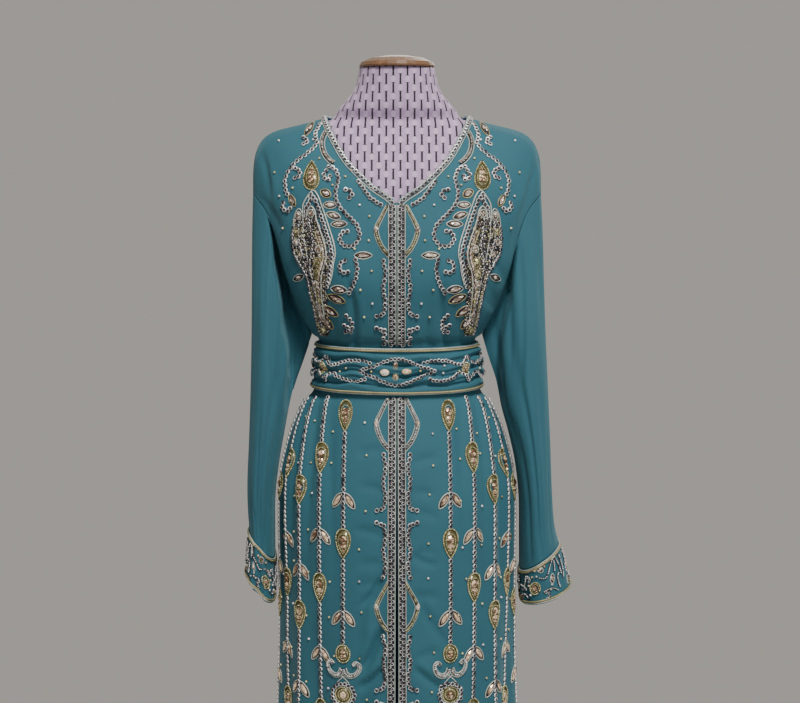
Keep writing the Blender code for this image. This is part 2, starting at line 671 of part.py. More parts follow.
belt_plain = np.array([waist_ring(z, half_x, fore, rear, 2.1, BELT_AROUND)
                       for z, half_x, fore, rear, rise in BELT_LEVELS])
belt_out = normals(belt_plain, wrap=True)
belt_rise = np.array([row[4] for row in BELT_LEVELS])[:, None, None]
belt_outer = belt_plain + belt_out * belt_rise
belt_inner = belt_plain - belt_out * BELT_WALL
shell("belt", [(closed_round(belt_outer), closed_round(belt_inner), False)], "teal_georgette")
for end, row, step in (("top", 0, 1), ("foot", -1, -2)):
    drop = belt_outer[step] - belt_outer[row]
    drop /= np.linalg.norm(drop, axis=1, keepdims=True)
    cord(f"belt_cord_{end}", belt_outer[row] + drop * 2.4 + belt_out[row] * 0.6,
         belt_out[row], drop, CORD_RADIUS)


# ---------------------------------------------------------------- bands round the neck and down the front
def level_band(panel, rows, start, width, rise):
    """Stations of a band of even width along the inner edge of a panel."""
    stations = []
    for row in rows:
        here = on_panel(panel, row, 0)[0]
        ahead = on_panel(panel, min(row + 0.3, len(panel[0]) - 1.001), 0)[0]
        behind = on_panel(panel, max(row - 0.3, 0), 0)[0]
        edge = (ahead - behind) / np.linalg.norm(ahead - behind)
        across = on_panel(panel, row, 0.5)[0] - here
        across /= np.linalg.norm(across)
        slant = max(0.45, np.linalg.norm(np.cross(edge, across)))
        near = column_at(panel, row, start / slant)
        far = column_at(panel, row, (start + width) / slant)
        out = on_panel(panel, row, (near + far) / 2)[1]
        stations.append(([on_panel(panel, row, near)[0], on_panel(panel, row, far)[0]], out, rise, rise))
    return stations


BAND_RISE = 1.4
neck_rows = [0.02] + list(np.arange(1, NECK_ROW)) + [NECK_ROW - 0.02]
front_rows = [NECK_ROW + 0.04] + list(np.arange(NECK_ROW + 1, ARM_ROWS + 0.5))
low_rows = list(np.arange(ARM_ROWS + 4, len(LEVEL_NUMBERS) - 1)) + [len(LEVEL_NUMBERS) - 1.03]
for left_side, side in ((True, "left"), (False, "right")):
    strip(f"neck_band_{side}", level_band(front, neck_rows, 0.6, 9.5, BAND_RISE), "silver_beadwork", left_side)
    strip(f"front_band_upper_{side}", level_band(front, front_rows, 0.6, 12.0, BAND_RISE),
          "silver_beadwork", left_side)
    strip(f"front_band_lower_{side}", level_band(front, low_rows, 0.6, 12.0, BAND_RISE),
          "silver_beadwork", left_side)


def back_neck_stations():
    """Half of the band round the back neck, from the shoulder to the centre."""
    stations = []
    for row in np.linspace(0.05, NECK_ROW, 8):
        share = row / NECK_ROW
        turned = share ** 2
        low_row = row + turned * 9.5 / np.linalg.norm(back[0][NECK_ROW + 1, 0] - back[0][NECK_ROW, 0])
        near = on_panel(back, row, column_at(back, row, 0.5) * (1 - share))[0]
        far_col = column_at(back, low_row, 9.5 + 3 * math.sin(math.pi * share)) * (1 - turned)
        far = on_panel(back, low_row, far_col)[0]
        out = on_panel(back, (row + low_row) / 2, far_col / 2)[1]
        stations.append(([near + out * 0.3, far + out * 0.3], out, BAND_RISE, BAND_RISE))
    return stations


half_band = back_neck_stations()
other_half = [([mirrored(place) for place in across], mirrored(out), rise, edge)
              for across, out, rise, edge in half_band[-2::-1]]
strip("neck_band_back", half_band + other_half, "silver_beadwork", True)


# ---------------------------------------------------------------- raised beadwork on chest and skirt
def chest_stations():
    """Stations down the raised work on the chest, four to each row of the cloth, five points across."""
    table = np.array(CHEST_WORK)[::-1]
    first = place_of(front, *CHEST_WORK[0][:2])[0]
    last = place_of(front, *CHEST_WORK[-1][:2])[0]
    columns = np.arange(0, COLUMNS + 0.01, 0.1)
    stations = []
    for row in [first] + list(np.arange(math.ceil(first + 0.2), last - 0.2, 0.25)) + [last]:
        line = np.array([on_panel(front, row, column)[0] for column in columns])
        middle = np.interp(line[:, 2], table[:, 1], table[:, 0])
        centre = int(np.argmin(np.abs(line[:, 0] - middle)))
        half_width = np.interp(line[centre, 2], table[:, 1], table[:, 2])
        out = on_panel(front, row, columns[centre])[1]
        across = []
        for share in (-1.0, -0.5, 0.0, 0.5, 1.0):
            column = np.interp(middle[centre] + share * half_width, line[:, 0], columns)
            place, facing = on_panel(front, row, column)
            across.append(place + facing * 0.9)
        stations.append((across, out, WORK_RISE, 0.7))
    return stations


def chain_stations(column, top, jewel):
    """Stations down one bead chain, wider and higher at each jewel."""
    heights = {}
    for row_number in range(ARM_ROWS + 4, len(LEVEL_NUMBERS)):
        heights[front[0][row_number, column, 2]] = (CHAIN_HALF, CHAIN_RISE)
    heights = {z: shape for z, shape in heights.items() if CHAIN_FOOT < z < top}
    heights[top] = (CHAIN_HALF, CHAIN_RISE)
    heights[CHAIN_FOOT] = (CHAIN_HALF, CHAIN_RISE)
    middle = jewel
    while middle > CHAIN_FOOT + JEWEL_LENGTH:
        half = JEWEL_LENGTH / 2
        heights = {z: shape for z, shape in heights.items() if abs(z - middle) > half + 3 or z == top}
        heights[middle + half] = (CHAIN_HALF, CHAIN_RISE)
        heights[middle - half * 0.3] = (JEWEL_HALF, JEWEL_RISE)
        heights[middle - half] = (CHAIN_HALF, CHAIN_RISE)
        middle -= JEWEL_PITCH
    stations = []
    for z in sorted(heights, reverse=True):
        half_width, rise = heights[z]
        row = row_of_height(front, column, z)
        centre, out = on_panel(front, row, column)
        before = on_panel(front, row, column - 1)[0]
        beyond = on_panel(front, row, column + 1)[0]
        across = [on_panel(front, row, column - half_width / np.linalg.norm(centre - before))[0],
                  centre,
                  on_panel(front, row, column + half_width / np.linalg.norm(beyond - centre))[0]]
        stations.append((across, out, rise, 0.8))
    return stations


for left_side, side in ((True, "left"), (False, "right")):
    strip(f"chest_work_{side}", chest_stations(), "silver_beadwork", left_side)
    for number, (column, top, jewel) in enumerate(CHAINS, start=1):
        strip(f"bead_chain_{number}_{side}", chain_stations(column, top, jewel), "silver_beadwork", left_side)


# ---------------------------------------------------------------- dress form and stand
def form_ring(row, count):
    """One ring of the form with the swell of the bust."""
    z, half_x, fore, rear, n = row
    ring = waist_ring(z, half_x, fore, rear, n, count, side_y=4.0)
    swell = np.exp(-((np.abs(ring[:, 0]) - BUST["x"]) / BUST["half_x"]) ** 2
                   - ((z - BUST["z"]) / BUST["half_z"]) ** 2)
    ring[:, 1] -= np.where(ring[:, 1] < 0, BUST["rise"] * swell, 0.0)
    return ring


def disc(radius, z, count):
    """A level circle."""
    turn = np.arange(count) * 2 * math.pi / count
    return np.stack([radius * np.sin(turn), -radius * np.cos(turn), np.full(count, z)], axis=1)


stack("form_torso", [form_ring(row, FORM_AROUND) for row in FORM_LEVELS], "form_cover")
cap_rings = [disc(radius, z, 24) + (0.0, 0.0, 0.0) for radius, z in
             ((55.0, 1506.4), (56.0, 1509.0), (53.0, 1514.0), (40.0, 1520.0), (18.0, 1523.5))]
stack("neck_cap", cap_rings, "cap_wood")
stack("stand_pole", [disc(POLE_RADIUS, BASE_HEIGHT + 0.4, 16), disc(POLE_RADIUS, 739.6, 16)], "stand_steel")
base_rings = [disc(radius, z, 32) for radius, z in
              ((BASE_RADIUS - 2.0, 0.0), (BASE_RADIUS, 2.0), (BASE_RADIUS, 11.0),
               (BASE_RADIUS - 5.0, BASE_HEIGHT))]
stack("stand_base", base_rings, "stand_steel")
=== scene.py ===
# %% [markdown]
# # A beaded kaftan, worn by a dress form
#
# A kaftan is a long open-fronted robe.  This one is cut from teal georgette, a matt crepe with very
# little body, so it falls straight from the shoulders and shows soft folds only where something
# gathers it: at the armholes, under the belt and at the wrists.  Its weight comes from the beading,
# which runs down both front edges, round the neck, over the chest and down the skirt in chains.
#
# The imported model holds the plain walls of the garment.  This script keeps their form, redraws each
# one as a finer shell, and sews the beading on.  We work in millimetres on grids of points, because
# a bead is placed most easily by its distance along the cloth, and turn them into metres at the end.

# %% Load the frame
import math
from functools import partialmethod

import bmesh
import bpy
import numpy as np
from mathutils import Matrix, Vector, kdtree


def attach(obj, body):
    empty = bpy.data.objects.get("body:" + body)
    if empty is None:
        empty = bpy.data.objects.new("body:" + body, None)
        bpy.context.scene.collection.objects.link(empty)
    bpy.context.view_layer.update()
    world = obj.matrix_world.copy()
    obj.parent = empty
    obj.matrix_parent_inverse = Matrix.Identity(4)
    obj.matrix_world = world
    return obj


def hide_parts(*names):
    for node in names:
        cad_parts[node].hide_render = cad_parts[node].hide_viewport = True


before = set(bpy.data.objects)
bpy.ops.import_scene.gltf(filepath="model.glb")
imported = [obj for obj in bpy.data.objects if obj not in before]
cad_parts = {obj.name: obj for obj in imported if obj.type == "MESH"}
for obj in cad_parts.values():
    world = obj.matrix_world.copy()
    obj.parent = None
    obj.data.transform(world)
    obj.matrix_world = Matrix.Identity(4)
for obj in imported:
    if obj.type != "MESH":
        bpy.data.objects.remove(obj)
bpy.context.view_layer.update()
MM = 0.001
TURN = 2 * math.pi
SIDES = ("left", "right")

# %% [markdown]
# ## Where we stand
#
# The camera stands a little below shoulder height and looks slightly down, so the sleeves hang
# upright and the skirt runs out of the picture at the knee.  A long lens keeps the shoulders and the
# hips in the same proportion as they have on the stand.

# %% The camera
CAMERA_PLACE = (0.0045, -2.4, 1.357)
CAMERA_TILT = 6.5       # degrees below the horizon
CAMERA_LENS = 72.0

camera_data = bpy.data.cameras.new("camera")
camera_data.lens = CAMERA_LENS
camera = bpy.data.objects.new("camera", camera_data)
camera.location = CAMERA_PLACE
camera.rotation_euler = (math.radians(90 - CAMERA_TILT), 0, 0)
bpy.context.scene.collection.objects.link(camera)
bpy.context.scene.camera = camera
print("camera:", CAMERA_LENS, "mm lens,", CAMERA_PLACE[2], "m above the floor")

# %% [markdown]
# ## Shader maths as Python
#
# Materials are built from nodes.  Wiring dozens of Math nodes by hand hides what they work out, so a
# small class wraps a socket and lets us write `1 - mask` or `u * 40`.  A second class holds the
# material itself and has one method that adds any other node.

# %% Sockets that take part in arithmetic
class Value:
    """A socket that adds the Math nodes an expression needs."""

    def __init__(self, finish, socket):
        self.finish = finish
        self.socket = socket

    def math(self, operation, *others):
        """This value put through a Math node, with another one if the operation takes two."""
        return self.finish.math(operation, self, *others)

    def __rsub__(self, other):
        return self.finish.math("SUBTRACT", other, self)

    def limited(self):
        """Kept between 0 and 1."""
        return self.math("MAXIMUM", 0.0).math("MINIMUM", 1.0)

    __add__ = __radd__ = partialmethod(math, "ADD")
    __sub__ = partialmethod(math, "SUBTRACT")
    __mul__ = __rmul__ = partialmethod(math, "MULTIPLY")
    __pow__ = partialmethod(math, "POWER")
    __abs__ = partialmethod(math, "ABSOLUTE")
    sine = partialmethod(math, "SINE")
    floor = partialmethod(math, "FLOOR")
    fraction = partialmethod(math, "FRACT")


# %% A material and the one method that adds its nodes
class Finish:
    """A Principled material; constants are set on its own sockets."""

    def __init__(self, name, **constants):
        self.material = bpy.data.materials.new(name)
        self.material.use_nodes = True
        self.tree = self.material.node_tree
        self.surface = self.tree.nodes["Principled BSDF"].inputs
        for socket, value in constants.items():
            self.surface[socket.replace("_", " ")].default_value = value

    def node(self, kind, settings, sockets):
        """Adds a node: its settings first, then the values or links of its sockets."""
        made = self.tree.nodes.new(kind)
        for key, value in settings.items():
            setattr(made, key, value)
        for key, value in sockets.items():
            if isinstance(key, int):
                socket = made.inputs[key]
            else:
                socket = next(entry for entry in made.inputs if entry.name == key and entry.enabled)
            self.feed(socket, value)
        return {socket.name: Value(self, socket) for socket in made.outputs if socket.enabled}

    def feed(self, socket, value):
        """Links a value to a socket, or sets it there."""
        if isinstance(value, Value):
            self.tree.links.new(value.socket, socket)
        else:
            socket.default_value = value

    def math(self, operation, *values):
        """A Math node over these values."""
        return self.node("ShaderNodeMath", {"operation": operation}, dict(enumerate(values)))["Value"]

    def noise(self, scale, place, detail=2.0):
        """A cloud of values from 0 to 1, scale of them to the metre."""
        sockets = {"Scale": scale, "Detail": detail, "Vector": place}
        return self.node("ShaderNodeTexNoise", {}, sockets)["Fac"]

    def mix(self, factor, first, second):
        """A colour between two others, given as red, green and blue or as a mixed colour."""
        first, second = ((*colour, 1.0) if isinstance(colour, tuple) else colour for colour in (first, second))
        sockets = {"Factor": factor, "A": first, "B": second}
        return self.node("ShaderNodeMix", {"data_type": "RGBA"}, sockets)["Result"]

    def relief(self, height, distance, strength):
        """Bumps of this height, in metres, on the surface."""
        sockets = {"Strength": strength, "Distance": distance, "Height": height}
        self.feed(self.surface["Normal"], self.node("ShaderNodeBump", {}, sockets)["Normal"])

    def looks(self, colour, roughness=None):
        """Feeds what varies over the surface."""
        self.feed(self.surface["Base Color"], colour)
        if roughness is not None:
            self.feed(self.surface["Roughness"], roughness)

    def cloth_place(self):
        """Where a point lies on the cloth, in metres across and along it, and its two parts."""
        place = self.node("ShaderNodeUVMap", {"uv_map": "cloth"}, {})["UV"]
        parts = self.node("ShaderNodeSeparateXYZ", {}, {0: place})
        return place, parts["X"], parts["Y"]

    def object_place(self):
        """Where a point lies in the object, in metres."""
        return self.node("ShaderNodeTexCoord", {}, {})["Object"]


# %% [markdown]
# ## Floor and light
#
# A pale floor and soft light from large lamps let the cloth's own folds do the shading.  The floor
# is a wide disc that fades out before its edge, so no line cuts across the background.  One big
# lamp stands high in front, as ceiling lamps in a shop do, a weak one fills the shadows from below
# and one behind draws a light edge round the shoulders.

# %% The floor
FLOOR_RADIUS = 2.4
FLOOR_FULL = 0.85       # radius where the floor begins to fade
FLOOR_GONE = 1.5        # radius where nothing of it is left
FLOOR_FADE = 1.5        # how fast it fades between the two
FLOOR_BELOW = 0.0005    # metres under the foot of the stand
FLOOR_COLOURS = ((0.66, 0.64, 0.61), (0.72, 0.70, 0.67))

floor_finish = Finish("pale floor", Roughness=0.9)
floor_place = floor_finish.object_place()
reach = floor_finish.node("ShaderNodeVectorMath", {"operation": "LENGTH"}, {0: floor_place})["Value"]
shown = ((FLOOR_GONE - reach) * (1 / (FLOOR_GONE - FLOOR_FULL))).limited()
floor_finish.looks(floor_finish.mix(floor_finish.noise(60.0, floor_place), *FLOOR_COLOURS))
floor_finish.feed(floor_finish.surface["Alpha"], shown ** FLOOR_FADE)

bpy.ops.mesh.primitive_circle_add(vertices=96, radius=FLOOR_RADIUS, fill_type="NGON")
floor = bpy.context.object
floor.name = "floor"
floor.location.z = -FLOOR_BELOW
floor.data.materials.append(floor_finish.material)
print("floor: disc of", FLOOR_RADIUS, "m")

# %% World and lamps
WORLD_COLOUR = (0.80, 0.76, 0.70, 1.0)
WORLD_STRENGTH = 0.47
LAMPS = [
    # name, place, aim, size, power, colour
    ("high front lamp", (0.42, -1.85, 3.30), (0.0, 0.0, 1.1), 0.7, 107.0, (1.0, 0.95, 0.88)),
    ("low fill lamp", (1.3, -2.6, 0.8), (0.0, 0.0, 0.9), 1.4, 12.0, (0.95, 0.97, 1.0)),
    ("back lamp", (0.6, 2.6, 2.6), (0.0, 0.0, 1.1), 1.8, 30.0, (1.0, 0.96, 0.9)),
]

world = bpy.data.worlds.new("studio")
world.use_nodes = True
background = world.node_tree.nodes["Background"]
background.inputs["Color"].default_value = WORLD_COLOUR
background.inputs["Strength"].default_value = WORLD_STRENGTH
bpy.context.scene.world = world

for name, place, aim, size, power, colour in LAMPS:
    data = bpy.data.lights.new(name, "AREA")
    data.size = size
    data.energy = power
    data.color = colour
    lamp = bpy.data.objects.new(name, data)
    lamp.location = place
    lamp.rotation_euler = (Vector(aim) - Vector(place)).to_track_quat("-Z", "Y").to_euler()
    bpy.context.scene.collection.objects.link(lamp)
print("light:", len(LAMPS), "lamps and a pale world")

# %% [markdown]
# ## Finishes
#
# Georgette is woven from hard-twisted crepe yarn, so its face is a fine dull grain with hardly any
# gloss; a long fibre sheen shows only where the cloth turns away.  We give the cloth its own flat
# coordinates in metres (the "cloth" map), so that grain and weave follow the folds.  The colour
# drifts a little over a hand's width, the way a soft dyed cloth does.

# %% Teal georgette
TEAL = (0.012, 0.090, 0.127)
TEAL_LIGHT = (0.017, 0.116, 0.157)
TEAL_DEEP = (0.007, 0.050, 0.074)
TEAL_BLUE = (0.016, 0.088, 0.155)
TEAL_INSIDE_SHADE = (0.010, 0.045, 0.056)
THREAD_PITCH = 0.0011   # metres between two threads of the weave
CREPE = {"grain": 700.0, "pucker": 90.0, "drift": 9.0, "cast": 38.0}    # clouds to the metre


def georgette(name, light, base, deep):
    """Dull crepe with a fine weave, a pebbled grain and a slow drift of colour."""
    finish = Finish(name, Sheen_Weight=0.18, Sheen_Roughness=0.5, Sheen_Tint=(0.30, 0.68, 0.82, 1.0))
    place, across, along = finish.cloth_place()
    warp, weft = ((way * (TURN / THREAD_PITCH)).sine() for way in (across, along))
    weave = warp * weft
    grain = finish.noise(CREPE["grain"], place, 3.0)
    pucker, drift, cast = (finish.noise(CREPE[kind], place) for kind in ("pucker", "drift", "cast"))
    body = finish.mix((drift * 1.6 - 0.3).limited(), base, light)
    body = finish.mix((cast * 1.8 - 0.55).limited() * 0.3, body, TEAL_BLUE)
    body = finish.mix((0.62 - grain + weave * 0.06).limited() * 0.55, body, deep)
    finish.looks(body, 0.68 + grain * 0.2)
    finish.relief(grain * 0.5 + weave * 0.25 + pucker * 0.9, 0.0005, 0.55)
    return finish.material


# the inner faces get the same georgette one step darker: painted shade inside the garment
OUTSIDE = georgette("teal georgette", TEAL_LIGHT, TEAL, TEAL_DEEP)
INSIDE = georgette("teal georgette inside, painted shade", TEAL, TEAL_DEEP, TEAL_INSIDE_SHADE)
print("cloth finishes:", OUTSIDE.name, "and", INSIDE.name)

# %% [markdown]
# ### Beads, stones and threads
#
# Every bead keeps its own tone in a point attribute, since strung beads never match exactly; on ring beads it
# also holds a painted highlight on one side and painted shade on the other.  The silver beads are lined glass
# with a mauve cast, the gold ones are paler than the cord.  Stones are cut glass, some champagne and some amber:
# clear gloss over a light body, with flat facets, each facet painted with its own glint or dark reflection.

# %% Beads and stones
def bead_finish(name, dark, light, roughness, metallic):
    """Lined glass: each bead's tone runs from dark to light."""
    finish = Finish(name, Metallic=metallic, Coat_Weight=0.6, Coat_Roughness=0.12)
    tone = finish.node("ShaderNodeAttribute", {"attribute_name": "tone"}, {})["Fac"]
    cloud = finish.noise(420.0, finish.object_place(), 1.0)
    finish.looks(finish.mix((tone + cloud * 0.3 - 0.15).limited(), dark, light), roughness + cloud * 0.15)
    return finish.material


SILVER_BEAD = bead_finish("silver-lined bead", (0.030, 0.024, 0.045), (0.96, 0.97, 0.98), 0.18, 0.2)
GOLD_BEAD = bead_finish("gold-lined bead", (0.060, 0.052, 0.014), (0.84, 0.80, 0.46), 0.22, 0.4)
STONE = bead_finish("champagne stone", (0.085, 0.042, 0.026), (1.0, 0.88, 0.76), 0.05, 0.15)
AMBER_STONE = bead_finish("amber stone", (0.105, 0.042, 0.016), (1.0, 0.76, 0.52), 0.05, 0.2)


# %% Threads and cords
def thread_finish(name, dark, light, roughness, metallic):
    """Wound metal thread: fine turns across a soft core."""
    finish = Finish(name, Metallic=metallic)
    place = finish.object_place()
    turns = finish.noise(1500.0, place, 1.0)
    worn = finish.noise(70.0, place)
    finish.looks(finish.mix((turns * 0.7 + worn * 0.6 - 0.15).limited(), dark, light), roughness + worn * 0.2)
    finish.relief(turns, 0.0003, 0.6)
    return finish.material


SILVER_THREAD = thread_finish("silver thread", (0.22, 0.25, 0.23), (0.72, 0.76, 0.70), 0.35, 0.35)
GOLD_THREAD = thread_finish("gold thread", (0.15, 0.13, 0.06), (0.62, 0.56, 0.32), 0.36, 0.5)
# near black: a real couching thread, and also painted shade laid in the gaps and grounds under the beadwork
DARK_THREAD_AND_SHADE = thread_finish("couching thread and painted shade", (0.004, 0.004, 0.008), (0.022, 0.020, 0.030), 0.5, 0.0)
TRIMMINGS = [SILVER_BEAD, GOLD_BEAD, STONE, AMBER_STONE, SILVER_THREAD, GOLD_THREAD, DARK_THREAD_AND_SHADE, OUTSIDE]
SILVER, GOLD, GEM, AMBER, PALE_LINE, GOLD_LINE, DARK_AND_SHADE, GROUND = range(len(TRIMMINGS))
print("trimmings:", [material.name for material in TRIMMINGS])

# %% [markdown]
# ### Form and stand
#
# The form is covered in a lilac cloth with short black dashes in a half-drop layout: each column of
# dashes starts half a step lower than its neighbour.  Two repeating ramps, one across and one up,
# give the place inside one cell, and a dash is where both are near the cell's middle.  Its ends
# spread into small feet, and a paler oval lies between two dashes.

# %% Form cover, wood and steel
DASH_ACROSS = 0.0104    # metres between two columns of dashes
DASH_UP = 0.0250        # metres between two dashes of a column
DASH_HALF = (0.0016, 0.0075)
DASH_FOOT = (0.0032, 0.0009)
OVAL_HALF = (0.0042, 0.0065)
RIB_PITCH = 0.0016
COVER_COLOURS = {"shade": (0.30, 0.20, 0.36), "lilac": (0.42, 0.30, 0.49), "rib": (0.60, 0.49, 0.66),
                 "oval": (0.62, 0.50, 0.68), "dash": (0.012, 0.010, 0.016)}


def form_cover():
    """Lilac cloth with woven dashes."""
    finish = Finish("dashed form cover", Sheen_Weight=0.2)
    place, x, y = finish.cloth_place()
    across = x * (1 / DASH_ACROSS)
    odd = (across.floor() * 0.5).fraction()
    up = y * (1 / DASH_UP) + odd
    wobble = (finish.noise(260.0, place, 1.0) - 0.5) * 0.001
    away_across = abs(across.fraction() - 0.5) * DASH_ACROSS + wobble
    away_up = abs(up.fraction() - 0.5) * DASH_UP + wobble
    dash = ((DASH_HALF[0] - away_across) * 3000).limited() * ((DASH_HALF[1] - away_up) * 2000).limited()
    past = abs(away_up - DASH_HALF[1])
    foot = ((DASH_FOOT[0] - away_across) * 1500).limited() * ((DASH_FOOT[1] - past) * 1500).limited()
    dash = (dash + foot * 0.75).limited()
    rib = ((x * (TURN / RIB_PITCH)).sine() * 0.5 + 0.5) * ((y * (TURN / RIB_PITCH)).sine() * 0.5 + 0.5)
    lilac = finish.mix(finish.noise(30.0, place), COVER_COLOURS["shade"], COVER_COLOURS["lilac"])
    lilac = finish.mix(rib * 0.3, lilac, COVER_COLOURS["rib"])
    past_gap = (DASH_UP / 2 - away_up) * (1 / OVAL_HALF[1])
    pale = (1.25 - past_gap * past_gap - away_across * away_across * (1 / OVAL_HALF[0] ** 2)).limited()
    lilac = finish.mix(pale * 0.4, lilac, COVER_COLOURS["oval"])
    finish.looks(finish.mix(dash, lilac, COVER_COLOURS["dash"]), 0.8 + dash * 0.1)
    finish.relief(rib * 0.4 + dash, 0.0004, 0.5)
    return finish.material


def turned_wood():
    """Dark turned wood: rings round the middle, stretched into grain."""
    finish = Finish("turned wood", Coat_Weight=0.35, Coat_Roughness=0.25)
    sockets = {"Vector": finish.object_place(), "Scale": (1.0, 9.0, 1.0)}
    grain = finish.noise(60.0, finish.node("ShaderNodeMapping", {}, sockets)["Vector"], 5.0)
    finish.looks(finish.mix(grain, (0.055, 0.024, 0.012), (0.24, 0.12, 0.055)), 0.35 + grain * 0.25)
    finish.relief(grain, 0.0004, 0.4)
    return finish.material


def painted_steel():
    """Black powder coat with a fine orange peel, worn a little paler in patches."""
    finish = Finish("black powder coat", Metallic=0.3)
    place = finish.object_place()
    peel = finish.noise(500.0, place)
    worn = finish.noise(14.0, place, 4.0)
    finish.looks(finish.mix((worn * 1.6 - 0.5).limited(), (0.012, 0.012, 0.013), (0.045, 0.044, 0.042)),
                 0.36 + worn * 0.2)
    finish.relief(peel, 0.0004, 0.35)
    return finish.material


COVER = form_cover()
WOOD = turned_wood()
STEEL = painted_steel()
for node, material in (("neck_cap", WOOD), ("stand_pole", STEEL), ("stand_base", STEEL)):
    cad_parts[node].data.materials.clear()
    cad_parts[node].data.materials.append(material)
print("form finishes:", COVER.name, WOOD.name, STEEL.name)

# %% [markdown]
# ## The garment's measurements
#
# The cloth walls repeat the tables of the solid garment, so that the fine shells have the same form.
# Each row is one level of a panel: where its inner edge lies (neckline or centre front), where its
# outer edge lies (armhole or side seam), how square the curve between them is and how far it sags.
# From the top of the belt down a level is flat, so a shorter table serves the fronts and the back.

# %% Sizes of the cloth, mm
CLOTH = 1.8
CUFF_WALL = 2.4
BELT_WALL = 2.0
SEAM_GAP = 0.4
HALF_CLOTH = 253.5      # cloth from the centre line to the side seam, at the hip
CHAIN_PITCH = 39.0      # between two bead chains on the skirt, along the cloth
NECK_LEVEL = 5          # level of the neckline's point
ARM_LEVEL = 9           # level of the underarm
WAIST_LEVEL = 11
SIDE_Y = 4.0            # how far behind the arms' middle the side seam hangs
SQUARE = 2.1            # squareness of a level section; a plain oval has 2

FRONT_BODICE = [
    # z_in, x_in, y_in, z_out, x_out, y_out, squareness, sag: from the shoulder seam to the underarm
    (1434, 104, 4, 1326, 215, 2, 3.2, 11), (1424, 99.5, -24, 1316, 210, -17, 3, 9),
    (1405, 90, -46, 1300, 196, -33, 2.8, 6), (1369, 68, -73, 1276, 184, -43, 2.6, 2),
    (1335, 33, -96, 1246, 175, -47, 2.5, 0), (1309, 0.2, -107, 1210, 166, -45, 2.4, 0),
    (1262, 0.2, -118, 1180, 157, -38, 2.3, 0), (1200, 0.2, -121, 1150, 147, -26, 2.3, 0),
    (1152, 0.2, -111, 1128, 137, -11, 2.2, 0), (1117, 0.2, -100, 1111, 128, 4, 2.1, 0),
]
BACK_BODICE = [
    # z_in, x_in, y_in, z_out, x_out, y_out, squareness, sag: from the shoulder seam to the underarm
    (1434, 104, 4, 1326, 215, 2, 3.2, 11), (1433.5, 99, 25, 1316, 211, 20, 3, 10),
    (1431, 88, 45, 1300, 202, 38, 2.8, 8), (1426.5, 68, 60, 1276, 193, 51, 2.6, 5),
    (1422, 38, 71, 1246, 184, 58, 2.5, 3), (1421, 0, 74, 1210, 174, 60, 2.4, 0),
    (1370, 0, 93, 1180, 163, 54, 2.4, 0), (1290, 0, 101, 1150, 151, 42, 2.4, 0),
    (1195, 0, 95, 1128, 139, 23, 2.3, 0), (1120, 0, 88, 1111, 128, 4, 2.1, 0),
]
SKIRT_LEVELS = [
    # z, gap at the centre, front y, back y, side x: belt 1101 to 1028, gathers, hip 902, knee 610, hem
    (1101, 0.2, -89.1, 78, 117.3), (1065, 0.2, -90.1, 80.8, 119.9), (1028, 0.3, -91.1, 83.7, 122.9),
    (1010, 0.4, -98, 97, 137), (980, 0.5, -108, 110, 151), (948, 0.6, -117, 121, 162),
    (902, 0.8, -127, 133, 174), (855, 1, -133, 140, 178), (778, 1.3, -138, 144, 178),
    (700, 1.6, -142, 147, 178), (610, 1.7, -146, 150, 179), (500, 1.7, -151, 155, 182),
    (380, 1.7, -156, 160, 187), (260, 1.7, -161, 165, 193), (140, 1.7, -167, 171, 199),
    (20, 1.7, -173, 177, 205),
]
FRONT_LEVELS = FRONT_BODICE + [(z, gap, fore, z, x, SIDE_Y, SQUARE, 0) for z, gap, fore, rear, x in SKIRT_LEVELS]
BACK_LEVELS = BACK_BODICE + [(z, 0, rear, z, x, SIDE_Y, SQUARE, 0) for z, gap, fore, rear, x in SKIRT_LEVELS]
FOLD_DEPTHS = [
    # z, depth of the gathers, depth of the wide folds
    (20, 0, 9), (380, 0, 5), (610, 0, 2), (778, 0.6, 0.6), (855, 1.3, 0), (902, 2.2, 0), (948, 3, 0),
    (980, 3, 0), (1010, 1.8, 0), (1029, 0, 0), (1500, 0, 0),
]
BUST = {"x": 78.0, "z": 1212.0, "half_x": 42.0, "half_z": 46.0, "rise": 9.0}
print("levels of a panel:", len(FRONT_LEVELS))

# %% [markdown]
# ## From a table to a grid of cloth
#
# `between` reads a table at fractional rows with a smooth curve through its values, `level_curve`
# draws one level, and `spaced` walks along it.  On the bodice the cloth is spread evenly; on the
# skirt every thread keeps its distance from the centre and the surplus is drawn in at the side.

# %% Curves
def between(table, positions):
    """Smooth values of a table's columns at fractional row numbers."""
    rows = np.array(table, dtype=float)
    positions = np.clip(np.asarray(positions, dtype=float), 0.0, len(rows) - 1.0)
    low = np.minimum(positions.astype(int), len(rows) - 2)
    part = (positions - low)[:, None]
    before, here, after = rows[np.maximum(low - 1, 0)], rows[low], rows[low + 1]
    beyond = rows[np.minimum(low + 2, len(rows) - 1)]
    leave = (after - before) / 2
    arrive = (beyond - here) / 2
    return ((2 * part**3 - 3 * part**2 + 1) * here + (part**3 - 2 * part**2 + part) * leave
            + (3 * part**2 - 2 * part**3) * after + (part**3 - part**2) * arrive)


def run_of(path):
    """Distance along a path at each of its points."""
    steps = np.linalg.norm(np.diff(path, axis=0), axis=1)
    return np.concatenate([[0.0], np.cumsum(steps)])


def read_off(positions, known, values):
    """Rows of values at some positions, between the known positions of the rows."""
    return np.stack([np.interp(positions, known, column) for column in values.T], axis=1)


def spaced(path, distances):
    """Points of a path at the given distances along it."""
    return read_off(distances, run_of(path), path)


def closed_up(grid, axis=1):
    """A ring of points with its start repeated at its end."""
    return np.concatenate([grid, np.take(grid, [0], axis=axis)], axis=axis)


def unit(vectors):
    """Vectors made one long."""
    return vectors / np.maximum(np.linalg.norm(vectors, axis=-1, keepdims=True), 1e-9)


def heading(path, closed=False):
    """Direction of a path at each of its points."""
    if closed:
        return unit(np.roll(path, -1, axis=0) - np.roll(path, 1, axis=0))
    return unit(np.gradient(path, axis=0))


